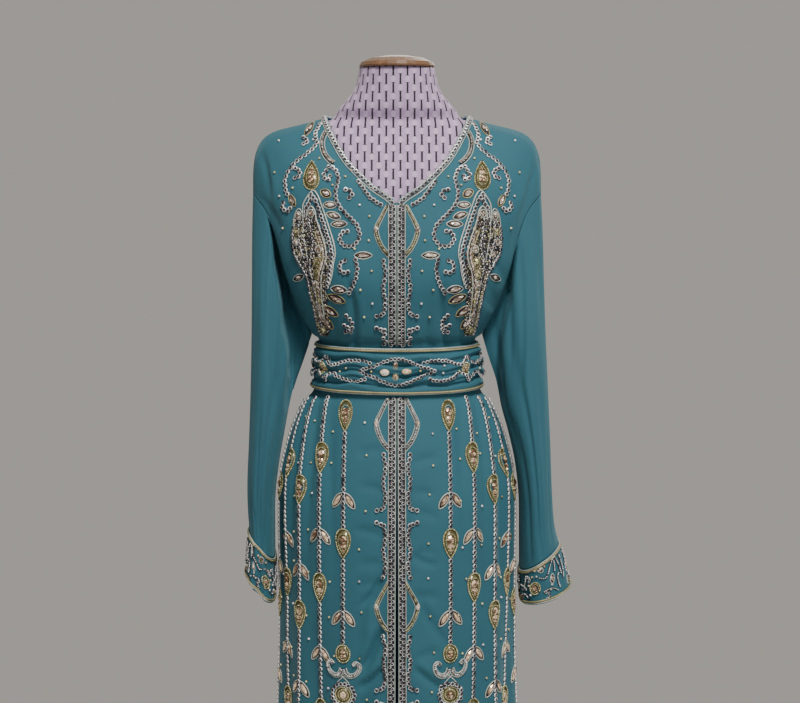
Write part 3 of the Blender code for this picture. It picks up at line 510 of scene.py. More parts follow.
def level_curve(level):
    """The curve of one level, from its inner to its outer end."""
    z_in, x_in, y_in, z_out, x_out, y_out, square, sag = level
    turn = np.linspace(0, math.pi / 2, 240)
    across = np.sin(turn) ** (2 / square)
    along = np.clip(np.cos(turn), 0, 1) ** (2 / square)
    return np.stack([
        x_in + (x_out - x_in) * across,
        y_out + (y_in - y_out) * along,
        z_out + (z_in - z_out) * along - sag * np.sin(math.pi * across),
    ], axis=1)


def grid_normals(grid, wrap=False):
    """Unit normals of a grid, by the run of its rows and columns."""
    if wrap:
        across = np.roll(grid, -1, axis=1) - np.roll(grid, 1, axis=1)
    else:
        across = np.gradient(grid, axis=1)
    return unit(np.cross(np.gradient(grid, axis=0), across))


# %% Creases, given one by one
def crease_rise(across, height, table):
    """How far creases lift the cloth: each row is a long soft ridge, or a trough if it is negative."""
    rise = np.zeros(np.broadcast(across, height).shape)
    for place, z, lean, bow, half_width, half_length, depth in table:
        slope = math.radians(lean)
        off = across - place
        up = height - z
        along = up * math.cos(slope) + off * math.sin(slope)
        aside = off * math.cos(slope) - up * math.sin(slope) - bow * (along / half_length) ** 2
        rise += depth * np.exp(-(aside / half_width) ** 2 - (along / half_length) ** 4)
    return rise


FRONT_CREASES = {
    # across, z, lean, bow, half width, half length, depth; across is x above the waist, cloth below it
    "left": [
        (66, 1140, -5, 4, 5, 46, -4.4), (53, 1134, -4, 4, 5, 40, 1.4), (44, 1122, 9, 2, 4, 20, -1.6),
        (93, 1128, 3, 3, 5, 26, -2), (128, 1190, -32, 6, 7, 52, -3.2), (141, 1228, -24, 5, 6, 46, -2.4),
        (137, 1160, -44, 4, 6, 38, -2.6), (194, 1326, 14, 4, 6, 50, -3.6), (184, 1318, 13, 4, 6, 46, 1.8),
        (174, 1262, 8, 4, 6, 40, -2.6), (150, 1290, 16, 6, 8, 46, -1.4), (40, 940, 78, 2, 6, 18, -2.2),
        (38, 893, 96, 2, 5.5, 15, -2), (41, 862, 104, 2, 6, 18, -2.2), (39, 806, 86, 2, 5.5, 15, -2),
        (42, 742, 98, 2, 6.5, 18, -2.4), (40, 655, 70, 2, 7, 20, -2.4), (46, 617, -53, 2, 4.5, 30, -5.8),
        (52, 628, -53, 2, 5, 26, 2), (38, 792, -70, 2, 4.5, 18, -3.8), (50, 700, -32, 4, 7, 40, -3.4),
        (44, 540, -30, 4, 8, 40, -3), (98, 890, -3, 4, 7, 110, -1.8), (136, 820, 2, 5, 8, 150, -2.4),
        (176, 870, 3, 6, 8, 130, -3), (215, 800, -2, 6, 9, 190, -3.2), (58, 430, 2, 8, 16, 260, -4),
        (122, 330, -2, 8, 18, 260, -5), (190, 400, 2, 8, 18, 300, -5),
    ],
    "right": [
        (62, 1146, 3, 4, 4.5, 52, -5), (49, 1138, 2, 4, 6, 44, 1.8), (47, 1120, -6, 2, 4, 22, -1.5),
        (90, 1122, 8, 3, 5, 22, -2.2), (130, 1186, -28, 5, 7, 56, -3), (143, 1236, -20, 6, 6, 42, -2.6),
        (134, 1152, -48, 4, 6, 34, -2.4), (190, 1348, 10, 3, 5.5, 34, -3.4), (181, 1340, 10, 3, 6, 34, 1.6),
        (182, 1292, 34, 4, 6, 32, -3), (152, 1300, 12, 6, 8, 50, -1.6), (39, 952, 102, 2, 6, 18, -2.2),
        (37, 900, 84, 2, 5.5, 15, -2), (41, 836, 80, 2, 6, 20, -2.4), (39, 790, 98, 2, 5.5, 15, -2),
        (38, 760, 97, 2, 6.5, 16, -2.2), (33, 748, -37, 2, 5, 26, -7.4), (44, 744, -34, 2, 6, 24, 2.2),
        (38, 708, -12, 2, 7, 24, 3.4), (32.5, 663, -25, 2, 5, 34, -9.6), (43, 670, -24, 2, 5, 32, 3.6),
        (31, 622, -48, 2, 5, 28, -8), (38, 630, -46, 2, 5, 26, 2.6), (48, 560, -24, 4, 8, 40, -3.2),
        (96, 860, 3, 4, 7, 130, -1.6), (138, 880, -2, 5, 8, 120, -2.6), (178, 840, -3, 6, 8, 150, -3.2),
        (212, 860, 2, 6, 9, 150, -3), (56, 380, -2, 8, 16, 260, -4.5), (118, 420, 2, 8, 18, 300, -4.5),
        (186, 330, -2, 8, 18, 260, -5.5),
    ],
}
BACK_CREASES = {
    # as on the fronts
    "left": [
        (58, 1150, 4, 4, 7, 52, -3.2), (96, 1140, -5, 4, 7, 44, -3), (24, 1138, 7, 3, 6, 36, -2.4),
        (130, 1186, -36, 6, 7, 52, -3.4), (140, 1236, -26, 5, 7, 46, -2.6), (70, 1300, 58, 8, 9, 60, -1.6),
        (30, 880, -2, 5, 8, 150, -2.8), (98, 840, 3, 5, 9, 170, -3), (150, 880, -3, 6, 9, 150, -3.2),
        (205, 820, 2, 6, 9, 190, -3), (70, 380, 2, 8, 18, 280, -5), (160, 360, -2, 8, 18, 260, -5.5),
    ],
    "right": [
        (52, 1146, -6, 4, 7, 46, -3), (88, 1136, 5, 4, 7, 42, -3.2), (20, 1150, -8, 3, 6, 44, -2),
        (128, 1180, -32, 6, 7, 56, -3.2), (142, 1230, -22, 5, 7, 44, -2.8), (64, 1320, 52, 8, 9, 52, -1.4),
        (36, 850, 2, 5, 8, 170, -2.6), (104, 880, -2, 5, 9, 140, -3.2), (156, 840, 3, 6, 9, 160, -3),
        (208, 860, -2, 6, 9, 170, -3.2), (64, 340, -2, 8, 18, 260, -5.5), (152, 400, 2, 8, 18, 300, -5),
    ],
}
print("creases:", sum(len(table) for table in [*FRONT_CREASES.values(), *BACK_CREASES.values()]))

# %% Half a panel
COLUMNS = 64
COLUMNS_BEHIND = 48
CROWDING = 1.2          # draws the columns of a front towards its middle
ROWS_TO_NECK = 46       # rows from the shoulder to the neckline's point
ROWS_TO_ARM = 35        # rows from there to the underarm
ROW_STEPS = ((600, 5), (0, 13))     # down to this height, mm between two rows
SIDE_HOLD = 12          # how suddenly creases die out at the side seam
INNER_FOLDS = (78.0, 60.0)          # front cloth without gathers, and the cloth over which they come in
RIPPLE_BEHIND = 0.8     # gathers of the back against those of the fronts
WIDE_IN_FRONT = 0.35    # share of the wide folds that reaches the centre front


def fine_levels():
    """Fractional levels: close on the bodice and at the knees, wider down the skirt."""
    numbers = list(np.linspace(0, NECK_LEVEL, ROWS_TO_NECK))
    numbers += list(np.linspace(NECK_LEVEL, ARM_LEVEL, ROWS_TO_ARM)[1:])
    for level in range(ARM_LEVEL, len(FRONT_LEVELS) - 1):
        drop = FRONT_LEVELS[level][0] - FRONT_LEVELS[level + 1][0]
        step = next(step for foot, step in ROW_STEPS if FRONT_LEVELS[level][0] > foot)
        numbers += list(level + np.linspace(0, 1, math.ceil(drop / step) + 1)[1:])
    return np.array(numbers)


LEVELS = fine_levels()
ARM_ROW = int(np.argmin(np.abs(LEVELS - ARM_LEVEL)))
NECK_ROW = int(np.argmin(np.abs(LEVELS - NECK_LEVEL)))


def squared_up(found):
    """Normals made the same for both pieces of each seam."""
    found = found.copy()
    found[ARM_ROW:, -1, 1] = 0.0
    found[NECK_ROW:, 0, 0] = 0.0
    found[0, :, 1] = 0.0
    return unit(found)


def cloth_distances(threads, length, gathered):
    """Where the threads of the cloth lie along a level of this length."""
    even = length * threads / HALF_CLOTH
    drawn = threads + (length - HALF_CLOTH) * (threads / HALF_CLOTH) ** 3
    return even + (drawn - even) * gathered


def fold_rise(threads, z, behind):
    """How far the skirt's gathers and wide folds stand out."""
    heights, gathers, wide = np.array(FOLD_DEPTHS).T
    gathers, wide = np.interp(z, heights, gathers), np.interp(z, heights, wide)
    towards_side = RIPPLE_BEHIND if behind else np.clip((threads - INNER_FOLDS[0]) / INNER_FOLDS[1], 0.0, 1.0)
    ripple = gathers * towards_side * np.cos(TURN * threads / CHAIN_PITCH)
    spread = WIDE_IN_FRONT + (1 - WIDE_IN_FRONT) * towards_side
    return ripple + wide * spread * np.cos(math.pi * threads / CHAIN_PITCH)


def bust_swell(x, z):
    """Share of the bust's full rise at a place."""
    return np.exp(-((x - BUST["x"]) / BUST["half_x"]) ** 2 - ((z - BUST["z"]) / BUST["half_z"]) ** 2)


def straight_neck(levels, table):
    """Runs the back neckline straight over its last stretch to the centre."""
    last = (LEVELS > NECK_LEVEL - 1) & (LEVELS < NECK_LEVEL)
    for field in (0, 2):
        ends = levels[NECK_LEVEL - 1][field], levels[NECK_LEVEL][field]
        table[last, field] = np.interp(LEVELS[last], (NECK_LEVEL - 1, NECK_LEVEL), ends)


def half_panel(levels, creases, behind):
    """Outer points and normals of half a front or back, on the wearer's left."""
    share = np.linspace(0, 1, (COLUMNS_BEHIND if behind else COLUMNS) + 1)
    threads = HALF_CLOTH * share ** (1.0 if behind else CROWDING)
    table = between(levels, LEVELS)
    if behind:
        straight_neck(levels, table)
    table[:, 1] = np.maximum(table[:, 1], 0.0 if behind else FRONT_BODICE[-1][1])
    rows = []
    for number, level in zip(LEVELS, table):
        path = level_curve(level)
        gathered = np.clip((number - ARM_LEVEL) / 3, 0, 1)
        rows.append(spaced(path, cloth_distances(threads, run_of(path)[-1], gathered)))
    grid = np.array(rows)
    if not behind:
        grid[:, :, 1] -= BUST["rise"] * bust_swell(grid[:, :, 0], grid[:, :, 2])
    facing = -1.0 if behind else 1.0
    out = squared_up(grid_normals(grid) * facing)
    across = np.where(LEVELS[:, None] < WAIST_LEVEL, grid[:, :, 0], threads[None, :])
    free = 1 - (threads / HALF_CLOTH) ** SIDE_HOLD
    rise = fold_rise(threads, grid[:, :, 2], behind) + crease_rise(across, grid[:, :, 2], creases) * free
    grid = grid + out * rise[:, :, None]
    if behind:
        grid[:, -1, 1] += SEAM_GAP
        grid[0, :, 1] += SEAM_GAP
    return grid, squared_up(grid_normals(grid) * facing)


FRONTS = {side: half_panel(FRONT_LEVELS, FRONT_CREASES[side], False) for side in SIDES}
BACKS = {side: half_panel(BACK_LEVELS, BACK_CREASES[side], True) for side in SIDES}
print("rows and columns of half a panel:", FRONTS["left"][0].shape[:2])

# %% [markdown]
# ## Turning grids into cloth
#
# A real panel is two faces a fibre apart with a cut edge between them.  We lay a second grid inside
# the first, join the two round their free edges and give the inner face its own material: the same
# cloth one step darker, painted shade.  The "cloth" map stores each point's place along the threads, which the
# weave needs.

# %% Shells
WELD = 0.00001          # metres within which points of a shell are one


def mirrored(points):
    """The same points on the wearer's right."""
    return np.asarray(points) * np.array((-1.0, 1.0, 1.0))


def put(obj, slot, *nodes):
    """Hangs a new piece on the garment, in place of the plain nodes it stands for."""
    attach(obj, "root")
    if nodes:
        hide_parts(*nodes)
    return obj


def object_from(name, points, faces, materials, kinds, smooth):
    """A mesh object in metres from points in mm."""
    mesh = bpy.data.meshes.new(name)
    mesh.from_pydata((np.asarray(points) * MM).tolist(), [], faces)
    for material in materials:
        mesh.materials.append(material)
    mesh.polygons.foreach_set("material_index", np.asarray(kinds, dtype=np.int32))
    mesh.polygons.foreach_set("use_smooth", np.asarray(smooth, dtype=bool))
    mesh.update()
    made = bpy.data.objects.new(name, mesh)
    bpy.context.scene.collection.objects.link(made)
    return made


def add_cloth_map(obj, corners):
    """Stores the place of each face corner along the threads."""
    layer = obj.data.uv_layers.new(name="cloth")
    layer.data.foreach_set("uv", corners.astype(np.float32).ravel())


def grid_quads(rows, columns, ring=False, closed=False):
    """Corners of a grid's quads: their point numbers, and their row and unrolled column.

    The columns of a ring close on themselves, and the rows too if it is closed.
    """
    row, col = np.meshgrid(np.arange(rows if closed else rows - 1), np.arange(columns if ring else columns - 1),
                           indexing="ij")
    row, col = row.ravel(), col.ravel()
    places = [(row, col), (row + 1, col), (row + 1, col + 1), (row, col + 1)]
    return np.stack([r % rows * columns + c % columns for r, c in places], axis=1), places


def turned_out(obj):
    """Welds the sheets of a closed shell and turns all its faces outwards."""
    work = bmesh.new()
    work.from_mesh(obj.data)
    bmesh.ops.remove_doubles(work, verts=work.verts, dist=WELD)
    bmesh.ops.recalc_face_normals(work, faces=work.faces)
    work.to_mesh(obj.data)
    work.free()
    return obj


def free_edges(rows, columns, wrap, joined_from):
    """Both ends of each step along a sheet's free edges, as rows and columns."""
    cols = np.arange(columns if wrap else columns - 1)
    edges = [((ring, cols), (ring, cols + 1)) for ring in (0, rows - 1)]
    if not wrap:
        for col in (0, columns - 1):
            down = np.arange(rows - 1 if col or joined_from is None else joined_from)
            edges.append(((down, col), (down + 1, col)))
    return edges


def shell(name, sheets, wrap=False, joined_from=None):
    """A cloth wall from sheets: outer grid, inner grid and place of each point along the threads.

    Sheets that share their first column from a row on are one wall there, with no edge between.
    """
    points, faces, kinds, maps = [], [], [], []
    start = 0
    for outer, inner, threads in sheets:
        rows, columns = outer.shape[:2]
        size = rows * columns
        points += [outer.reshape(-1, 3), inner.reshape(-1, 3)]
        quads, places = grid_quads(rows, columns, ring=wrap)
        quads = quads + start
        quad_map = np.stack([threads[place] for place in places], axis=1)
        facing = np.cross(outer[1, 0] - outer[0, 0], outer[0, 1] - outer[0, 0])
        if np.dot(facing, outer[0, 0] - inner[0, 0]) < 0:
            quads = quads[:, ::-1]
            quad_map = quad_map[:, ::-1]
        rim, rim_map = [], []
        for ends in free_edges(rows, columns, wrap, joined_from):
            first, second = (start + row * columns + col % columns for row, col in ends)
            rim.append(np.stack([first, second, second + size, first + size], axis=1))
            near, far = (threads[place] for place in ends)
            rim_map.append(np.stack([near, far, far, near], axis=1))
        rim = np.concatenate(rim)
        faces += [quads, quads[:, ::-1] + size, rim]
        kinds += [np.zeros(len(quads)), np.ones(len(quads)), np.zeros(len(rim))]
        maps += [quad_map, quad_map[:, ::-1], np.concatenate(rim_map)]
        start += 2 * size
    faces = np.concatenate(faces)
    made = object_from(name, np.concatenate(points), faces.tolist(), [OUTSIDE, INSIDE], np.concatenate(kinds),
                       np.ones(len(faces)))
    add_cloth_map(made, np.concatenate(maps))
    return turned_out(made)


def thread_map(grid, wrap=False):
    """Metres along and down the threads of a grid; a ring's map runs on past its join."""
    if wrap:
        grid = closed_up(grid)
    across = np.cumsum(np.linalg.norm(np.diff(grid, axis=1), axis=2), axis=1)
    down = np.cumsum(np.linalg.norm(np.diff(grid, axis=0), axis=2), axis=0)
    return np.stack([np.pad(across, ((0, 0), (1, 0))), np.pad(down, ((1, 0), (0, 0)))], axis=2) * MM


def area_of(grid, wrap=False):
    """Area of a grid in square metres."""
    if wrap:
        grid = closed_up(grid)
    first = np.cross(grid[1:, :-1] - grid[:-1, :-1], grid[:-1, 1:] - grid[:-1, :-1])
    second = np.cross(grid[1:, :-1] - grid[1:, 1:], grid[:-1, 1:] - grid[1:, 1:])
    return float((np.linalg.norm(first, axis=2).sum() + np.linalg.norm(second, axis=2).sum()) / 2 * MM**2)


def sheet_of(grid, out, wall, side, wrap=False):
    """One sheet of a shell, on the wearer's left or right."""
    turn = mirrored if side == "right" else np.asarray
    return turn(grid), turn(grid - out * wall), thread_map(grid, wrap)


# %% [markdown]
# ## Fronts and back
#
# The two fronts meet edge to edge down the centre and the back is one piece.  Their side seams are
# a hair apart, as two turned edges are.

# %% The three panels
for side in SIDES:
    grid, out = FRONTS[side]
    panel = put(shell(f"front_cloth_{side}", [sheet_of(grid, out, CLOTH, side)]), "teal_georgette",
                f"front_{side}")
    round(area_of(grid), 3)
    print(panel.name, "area", round(area_of(grid), 3), "m2")

back_sheets = [sheet_of(*BACKS[side], CLOTH, side) for side in SIDES]
back_area = sum(area_of(BACKS[side][0]) for side in SIDES)
back_cloth = put(shell("back_cloth", back_sheets, joined_from=NECK_ROW), "teal_georgette", "back")
print("back_cloth area", round(back_area, 3), "m2")

# %% [markdown]
# ## Sleeves and cuffs
#
# A sleeve is a tube whose first ring is the armhole seam itself.  Each ring below it is a flattened
# oval, given by its outer and inner end, its middle and its depth.  Folds and creases are given as
# an angle round the sleeve and a level down it: long ones that fall from the shoulder, short
# ones where the elbow bends and a deep one where the cuff draws the cloth in.  The surplus cloth
# under the arm is laid back behind a soft edge, so a shaded recess runs down beside the bodice.

# %% Sizes of the sleeves, mm
SLEEVE_LEVELS = {
    # x_out, z_out, x_in, z_in, y_mid, half_y: from the armhole past the elbow, row 5, to the wrist
    "left": [
        (215, 1326, 128, 1111, 5, 54), (218, 1262, 138.5, 1075, 1, 59), (220, 1190, 150, 1040, -3, 62),
        (223, 1110, 158, 1000, -6, 63), (227, 1030, 169, 960, -8, 63), (231, 950, 179, 915, -9, 62),
        (234, 880, 185, 862, -10, 60), (238, 827, 186, 802, -10, 57), (245, 796.5, 186.5, 755, -10, 55),
    ],
    "right": [
        (215, 1326, 128, 1111, 5, 54), (216.5, 1262, 142, 1072, 1, 59), (217, 1190, 155, 1036, -3, 62),
        (218, 1110, 163.5, 1000, -6, 63), (220, 1030, 171, 960, -8, 63), (223, 955, 179, 915, -9, 61),
        (226, 893, 185, 866, -10, 58), (226, 850, 186, 815, -10, 54), (224, 818.5, 186, 772.5, -10, 52),
    ],
}
CUFF_LEVELS = {
    # as on the sleeves
    "left": [
        (245, 796, 186.5, 754.5, -10, 55), (251, 775, 187, 738, -10, 57), (258, 752, 188, 721, -10, 59),
        (264, 729, 189, 703, -10, 62),
    ],
    "right": [
        (224, 818, 186, 772, -10, 52), (226, 795, 186.5, 748, -11, 53), (228, 772, 187, 725, -12, 54),
        (229.5, 749, 187.5, 703, -12, 55),
    ],
}
SLEEVE_FOLDS = {
    # angle, level, half angle, half length, depth
    "left": [
        (62, 4.6, 13, 1.7, 6), (112, 2.6, 14, 1.4, 5), (38, 1.9, 12, 1.1, 3.5), (250, 3.6, 15, 1.8, 5),
        (305, 5.2, 15, 1.6, 4),
    ],
    "right": [
        (95, 7.6, 18, 1.5, 6), (118, 3, 14, 1.6, 5), (48, 2.2, 12, 1.4, 3.5), (250, 3.4, 15, 1.8, 5),
        (300, 5.4, 15, 1.6, 4),
    ],
}
# as on the sleeves
CUFF_FOLDS = {"left": [(300, 2, 18, 2, 2)], "right": [(93, 2.6, 18, 2, 9)]}
SLEEVE_CREASES = {
    # angle, level, drift, half angle, half length, depth
    "left": [
        (96, 5.3, -3.5, 6, 2.4, -4.2), (78, 6.2, 2, 5, 1.3, -2), (128, 5.6, -4, 7, 2, -3),
        (84, 1.5, 11, 6, 1.3, -2.8), (108, 1.1, 13, 6, 1, -3), (60, 1.2, 9, 6, 1, -1.6),
        (142, 1.4, 8, 7, 1.3, -3.2), (44, 6, 3, 6, 1.6, -1.8), (150, 3.4, -5, 8, 1.5, -3),
        (232, 1.3, -11, 7, 1.2, -3), (258, 5.6, 4, 7, 2.2, -3.6), (284, 2.6, -8, 7, 1.5, -2.4),
        (318, 6.4, 3, 7, 1.4, -2.2), (214, 4.6, 5, 8, 1.9, -3),
    ],
    "right": [
        (88, 1.6, 12, 6, 1.3, -2.6), (112, 1.2, 13, 6, 1.1, -3.2), (62, 1.1, 9, 6, 0.9, -1.4),
        (140, 1.5, 9, 7, 1.3, -3), (104, 4.6, -4, 6, 2, -2.8), (80, 5.6, 3, 6, 1.8, -1.8),
        (132, 5.4, -3, 7, 2.2, -3.4), (52, 6.6, 4, 6, 1.1, -1.8), (75, 7.3, 6, 5, 0.7, -2.4),
        (118, 7.4, -7, 6, 0.7, -2.8), (236, 1.4, -12, 7, 1.2, -3), (262, 5.2, 4, 7, 2, -3.4),
        (288, 2.5, -8, 7, 1.5, -2.6), (322, 6.2, 3, 7, 1.5, -2), (216, 4.8, 5, 8, 1.9, -3),
    ],
}
CUFF_CREASES = {
    # as on the sleeves
    "left": [(72, 0.6, 6, 6, 0.9, -1.4), (140, 2.4, -6, 8, 1.2, -2), (228, 1.2, 8, 9, 1.4, -1.8)],
    "right": [
        (66, 1.6, 9, 7, 1.3, -2.6), (122, 2, -8, 7, 1.4, -3.2), (40, 2.4, 5, 7, 1, -1.8),
        (240, 1.4, 8, 9, 1.4, -1.8),
    ],
}
# where its edge starts, degrees: at the seam, a level down, two levels down; how deep
UNDERARM_TUCKS = {"left": (66, 122, 156, 0.86), "right": (44, 104, 146, 1.12)}
TUCK = {"lead": 2.0, "over": 11.0, "inner_end": (182.0, 8.0), "begins": 0.5, "gone": (3.1, 1.1), "soft": 0.7}
AROUND_ARM = 100
TURNS = np.arange(AROUND_ARM) * TURN / AROUND_ARM
ARM_STEPS = np.linspace(0, 8, 97)
CUFF_STEPS = np.linspace(0, 3, 23)
ARM_SQUARE = 0.85       # power that fills out the front and the back of a ring
SEAM_REACH = 2.4        # levels over which the rings grow out of the armhole seam
SEAM_STAND = 0.3        # how proud of the panels the sleeve starts

# %% Rings of a sleeve
def armhole():
    """The seam line of the armhole at even turns, from the shoulder round by the front, and its normals."""
    lines = []
    for field in (0, 1):
        fore = FRONTS["left"][field][:ARM_ROW + 1, -1]
        rear = BACKS["left"][field][:ARM_ROW + 1, -1]
        top = (fore[:1] + rear[:1]) / 2
        foot = (fore[-1:] + rear[-1:]) / 2
        lines.append(np.concatenate([top, fore[1:-1], foot, rear[-2:0:-1], top]))
    heights = lines[0][:, 2]
    turn = np.arccos(np.clip(2 * (heights - heights.min()) / np.ptp(heights) - 1, -1, 1))
    turn[ARM_ROW + 1:] = TURN - turn[ARM_ROW + 1:]
    return [read_off(TURNS, turn, line) for line in lines]


SEAM_LINE, SEAM_OUT = armhole()


def degrees_from(angle):
    """How far each turn of a ring is from an angle, at most half a circle."""
    return (np.degrees(TURNS) - angle + 180) % 360 - 180


def arm_rings(table, positions, folds):
    """Rings of a sleeve or cuff with its deep folds."""
    swing = np.cos(TURNS)
    round_front = np.sign(np.sin(TURNS)) * np.abs(np.sin(TURNS)) ** ARM_SQUARE
    rings = []
    for position, (x_out, z_out, x_in, z_in, y_mid, half_y) in zip(positions, between(table, positions)):
        trough = np.zeros_like(TURNS)
        for angle, level, half_angle, half_length, depth in folds:
            trough += depth * np.exp(-(degrees_from(angle) / half_angle) ** 2
                                     - ((position - level) / half_length) ** 2)
        shrink_x = 1 - trough * np.abs(swing) / 40
        shrink_y = 1 - trough * np.abs(round_front) / half_y
        rings.append(np.stack([
            (x_out + x_in) / 2 + (x_out - x_in) / 2 * swing * shrink_x,
            y_mid - half_y * round_front * shrink_y,
            (z_out + z_in) / 2 + (z_out - z_in) / 2 * swing,
        ], axis=1))
    return np.array(rings)


def underarm_tuck(rings, positions, side):
    """Lays the surplus under the arm back towards the sleeve's middle, behind a soft edge."""
    *starts, share = UNDERARM_TUCKS[side]
    edge = np.interp(positions, (0.0, 1.0, 2.0), starts)[:, None]
    turn = np.degrees(TURNS)[None, :]
    past_edge = np.clip((turn - edge + TUCK["lead"]) / TUCK["over"], 0, 1)
    inner_end = np.clip((TUCK["inner_end"][0] - turn) / TUCK["inner_end"][1], 0, 1)
    held = (np.clip(positions / TUCK["begins"], 0, 1)
            * np.clip((TUCK["gone"][0] - positions) / TUCK["gone"][1], 0, 1))
    back = share * (past_edge ** 2 * (3 - 2 * past_edge)) * inner_end * held[:, None] ** TUCK["soft"]
    middle = between(SLEEVE_LEVELS[side], positions)[:, 4:5]
    rings[:, :, 1] += back * (middle - rings[:, :, 1])


def arm_creases(positions, table):
    """Rise of the fine creases over a sleeve or cuff; a crease drifts round the arm as it falls."""
    rise = np.zeros((len(positions), AROUND_ARM))
    down = np.asarray(positions)[:, None]
    for angle, level, drift, half_angle, half_length, depth in table:
        apart = (np.degrees(TURNS)[None, :] - angle - drift * (down - level) + 180) % 360 - 180
        rise += depth * np.exp(-(apart / half_angle) ** 2 - ((down - level) / half_length) ** 4)
    return rise


def growing_from(rings, ring, positions, reach):
    """Moves the first rings of a tube so that it grows out of a given ring."""
    return rings + (ring - rings[0])[None, :, :] * (np.maximum(0, 1 - positions / reach) ** 2)[:, None, None]


def arm_grids(side):
    """Outer points and normals of a sleeve and of its cuff, in the left-hand place."""
    rings = growing_from(arm_rings(SLEEVE_LEVELS[side], ARM_STEPS, SLEEVE_FOLDS[side]), SEAM_LINE, ARM_STEPS,
                         SEAM_REACH)
    underarm_tuck(rings, ARM_STEPS, side)
    rise = arm_creases(ARM_STEPS, SLEEVE_CREASES[side]) * np.clip(ARM_STEPS / 0.25, 0, 1)[:, None]
    rings += -grid_normals(rings, wrap=True) * rise[:, :, None]
    along = heading(SEAM_LINE, closed=True)
    away = rings[2] - rings[0]
    away = unit(away - along * np.sum(away * along, axis=1, keepdims=True))
    rings[0] = SEAM_LINE + away * SEAM_GAP + SEAM_OUT * SEAM_STAND
    cuff = arm_rings(CUFF_LEVELS[side], CUFF_STEPS, CUFF_FOLDS[side])
    cuff += -grid_normals(cuff, wrap=True) * arm_creases(CUFF_STEPS, CUFF_CREASES[side])[:, :, None]
    cuff = growing_from(cuff, rings[-1], CUFF_STEPS, 1)
    out = -grid_normals(np.concatenate([rings, cuff[1:]]), wrap=True)
    cuff[0] += 2 * SEAM_GAP * unit(cuff[1] - cuff[0])
    last = len(rings) - 1
    return (rings, out[:last + 1]), (cuff, out[last:])


# %% The sleeves and the cuffs
CUFFS = {}
for side in SIDES:
    sleeve, cuff = arm_grids(side)
    CUFFS[side] = cuff
    sleeve_cloth = put(shell(f"sleeve_cloth_{side}", [sheet_of(*sleeve, CLOTH, side, wrap=True)], wrap=True),
                       "teal_georgette", f"sleeve_{side}")
    round(area_of(sleeve[0], wrap=True), 3)
    cuff_cloth = put(shell(f"cuff_cloth_{side}", [sheet_of(*cuff, CUFF_WALL, side, wrap=True)], wrap=True),
                     "teal_georgette", f"cuff_{side}")
    round(area_of(cuff[0], wrap=True), 4)
    print(side, "sleeve", round(area_of(sleeve[0], wrap=True), 3), "m2, cuff",
          round(area_of(cuff[0], wrap=True), 4), "m2")

# %% [markdown]
# ## Belt
#
# The belt is a strip pleated lengthwise into four soft tucks, which never lie quite level.  Its
# inside stays plain against the waist.  The tucks are one profile whose height wanders as it goes
# round, and fine streaks run between them where the cloth is drawn tight.

# %% The belt
BELT_LEVELS = [
    # z, half_x, front, back
    (1099, 121.2, 92.6, 82), (1090, 122, 92.9, 82.8), (1080, 122.8, 93.1, 83.6), (1070, 123.6, 93.4, 84.4),
    (1059, 124.6, 93.7, 85.4), (1049, 125.4, 94, 86.3), (1039, 126.2, 94.3, 87.2), (1030, 127, 94.6, 88),
]
BELT_TUCKS = [
    # z, rise
    (1030, 0.8), (1037, 4.4), (1041.5, 3.4), (1043.5, -1.2), (1047, 1.4), (1053.5, 5.4), (1057.5, 4.4),
    (1059.5, -1.2), (1063, 1.5), (1070.5, 5.6), (1074.5, 4.2), (1076.5, -1), (1080, 1.6), (1085.5, 4.6),
    (1089, 3.4), (1091, -0.4), (1094, 1.2), (1099, 0.4),
]
BELT_WANDER = ((3.6, 3, 0.7), (2.3, 7, 2.1), (1.1, 13, 0.0))    # mm, waves round the belt, phase
BELT_AROUND = 160
BELT_ROWS = 56
STREAK = {"pitch": 7.4, "rise": 1.15, "drift": 1.9}


def waist_ring(z, half_x, fore, rear, square, count):
    """A level ring round the body, evenly spaced from the front towards the wearer's left."""
    front_half, back_half = (level_curve((z, 0.0, y, z, half_x, SIDE_Y, square, 0.0)) for y in (-fore, rear))
    half = np.concatenate([front_half, back_half[-2::-1]])
    whole = np.concatenate([half, mirrored(half[-2::-1])])
    return spaced(whole, np.arange(count) * run_of(whole)[-1] / count)


belt_rows = between(BELT_LEVELS, np.linspace(0, len(BELT_LEVELS) - 1, BELT_ROWS))
belt_plain = np.array([waist_ring(*row, SQUARE, BELT_AROUND) for row in belt_rows])
belt_out = grid_normals(belt_plain, wrap=True)
belt_turn = np.arange(BELT_AROUND) * TURN / BELT_AROUND
wander = sum(size * np.sin(waves * belt_turn + phase) for size, waves, phase in BELT_WANDER)
free = np.sin(np.linspace(0, math.pi, BELT_ROWS))[:, None]
tuck_z = belt_plain[:, :, 2] + wander[None, :] * free
belt_rise = np.interp(tuck_z, *np.array(BELT_TUCKS).T)
belt_rise *= 1 + 0.35 * np.sin(5 * belt_turn + 0.4)[None, :] * free
streaks = np.sin(TURN * tuck_z / STREAK["pitch"] + STREAK["drift"] * np.sin(4 * belt_turn + 1.1)[None, :])
belt_rise += STREAK["rise"] * streaks * (0.6 + 0.4 * np.sin(9 * belt_turn + 0.3))[None, :] * free
belt_outer = belt_plain + belt_out * belt_rise[:, :, None]
belt_sheet = (belt_outer, belt_plain - belt_out * BELT_WALL, thread_map(belt_outer, wrap=True))
belt_cloth = put(shell("belt_cloth", [belt_sheet], wrap=True), "teal_georgette", "belt")
round(area_of(belt_outer, wrap=True), 4)
BELT_LENGTH = run_of(belt_outer[BELT_ROWS // 2])[-1]
print("belt:", round(BELT_LENGTH), "mm round,", round(area_of(belt_outer, wrap=True), 4), "m2")

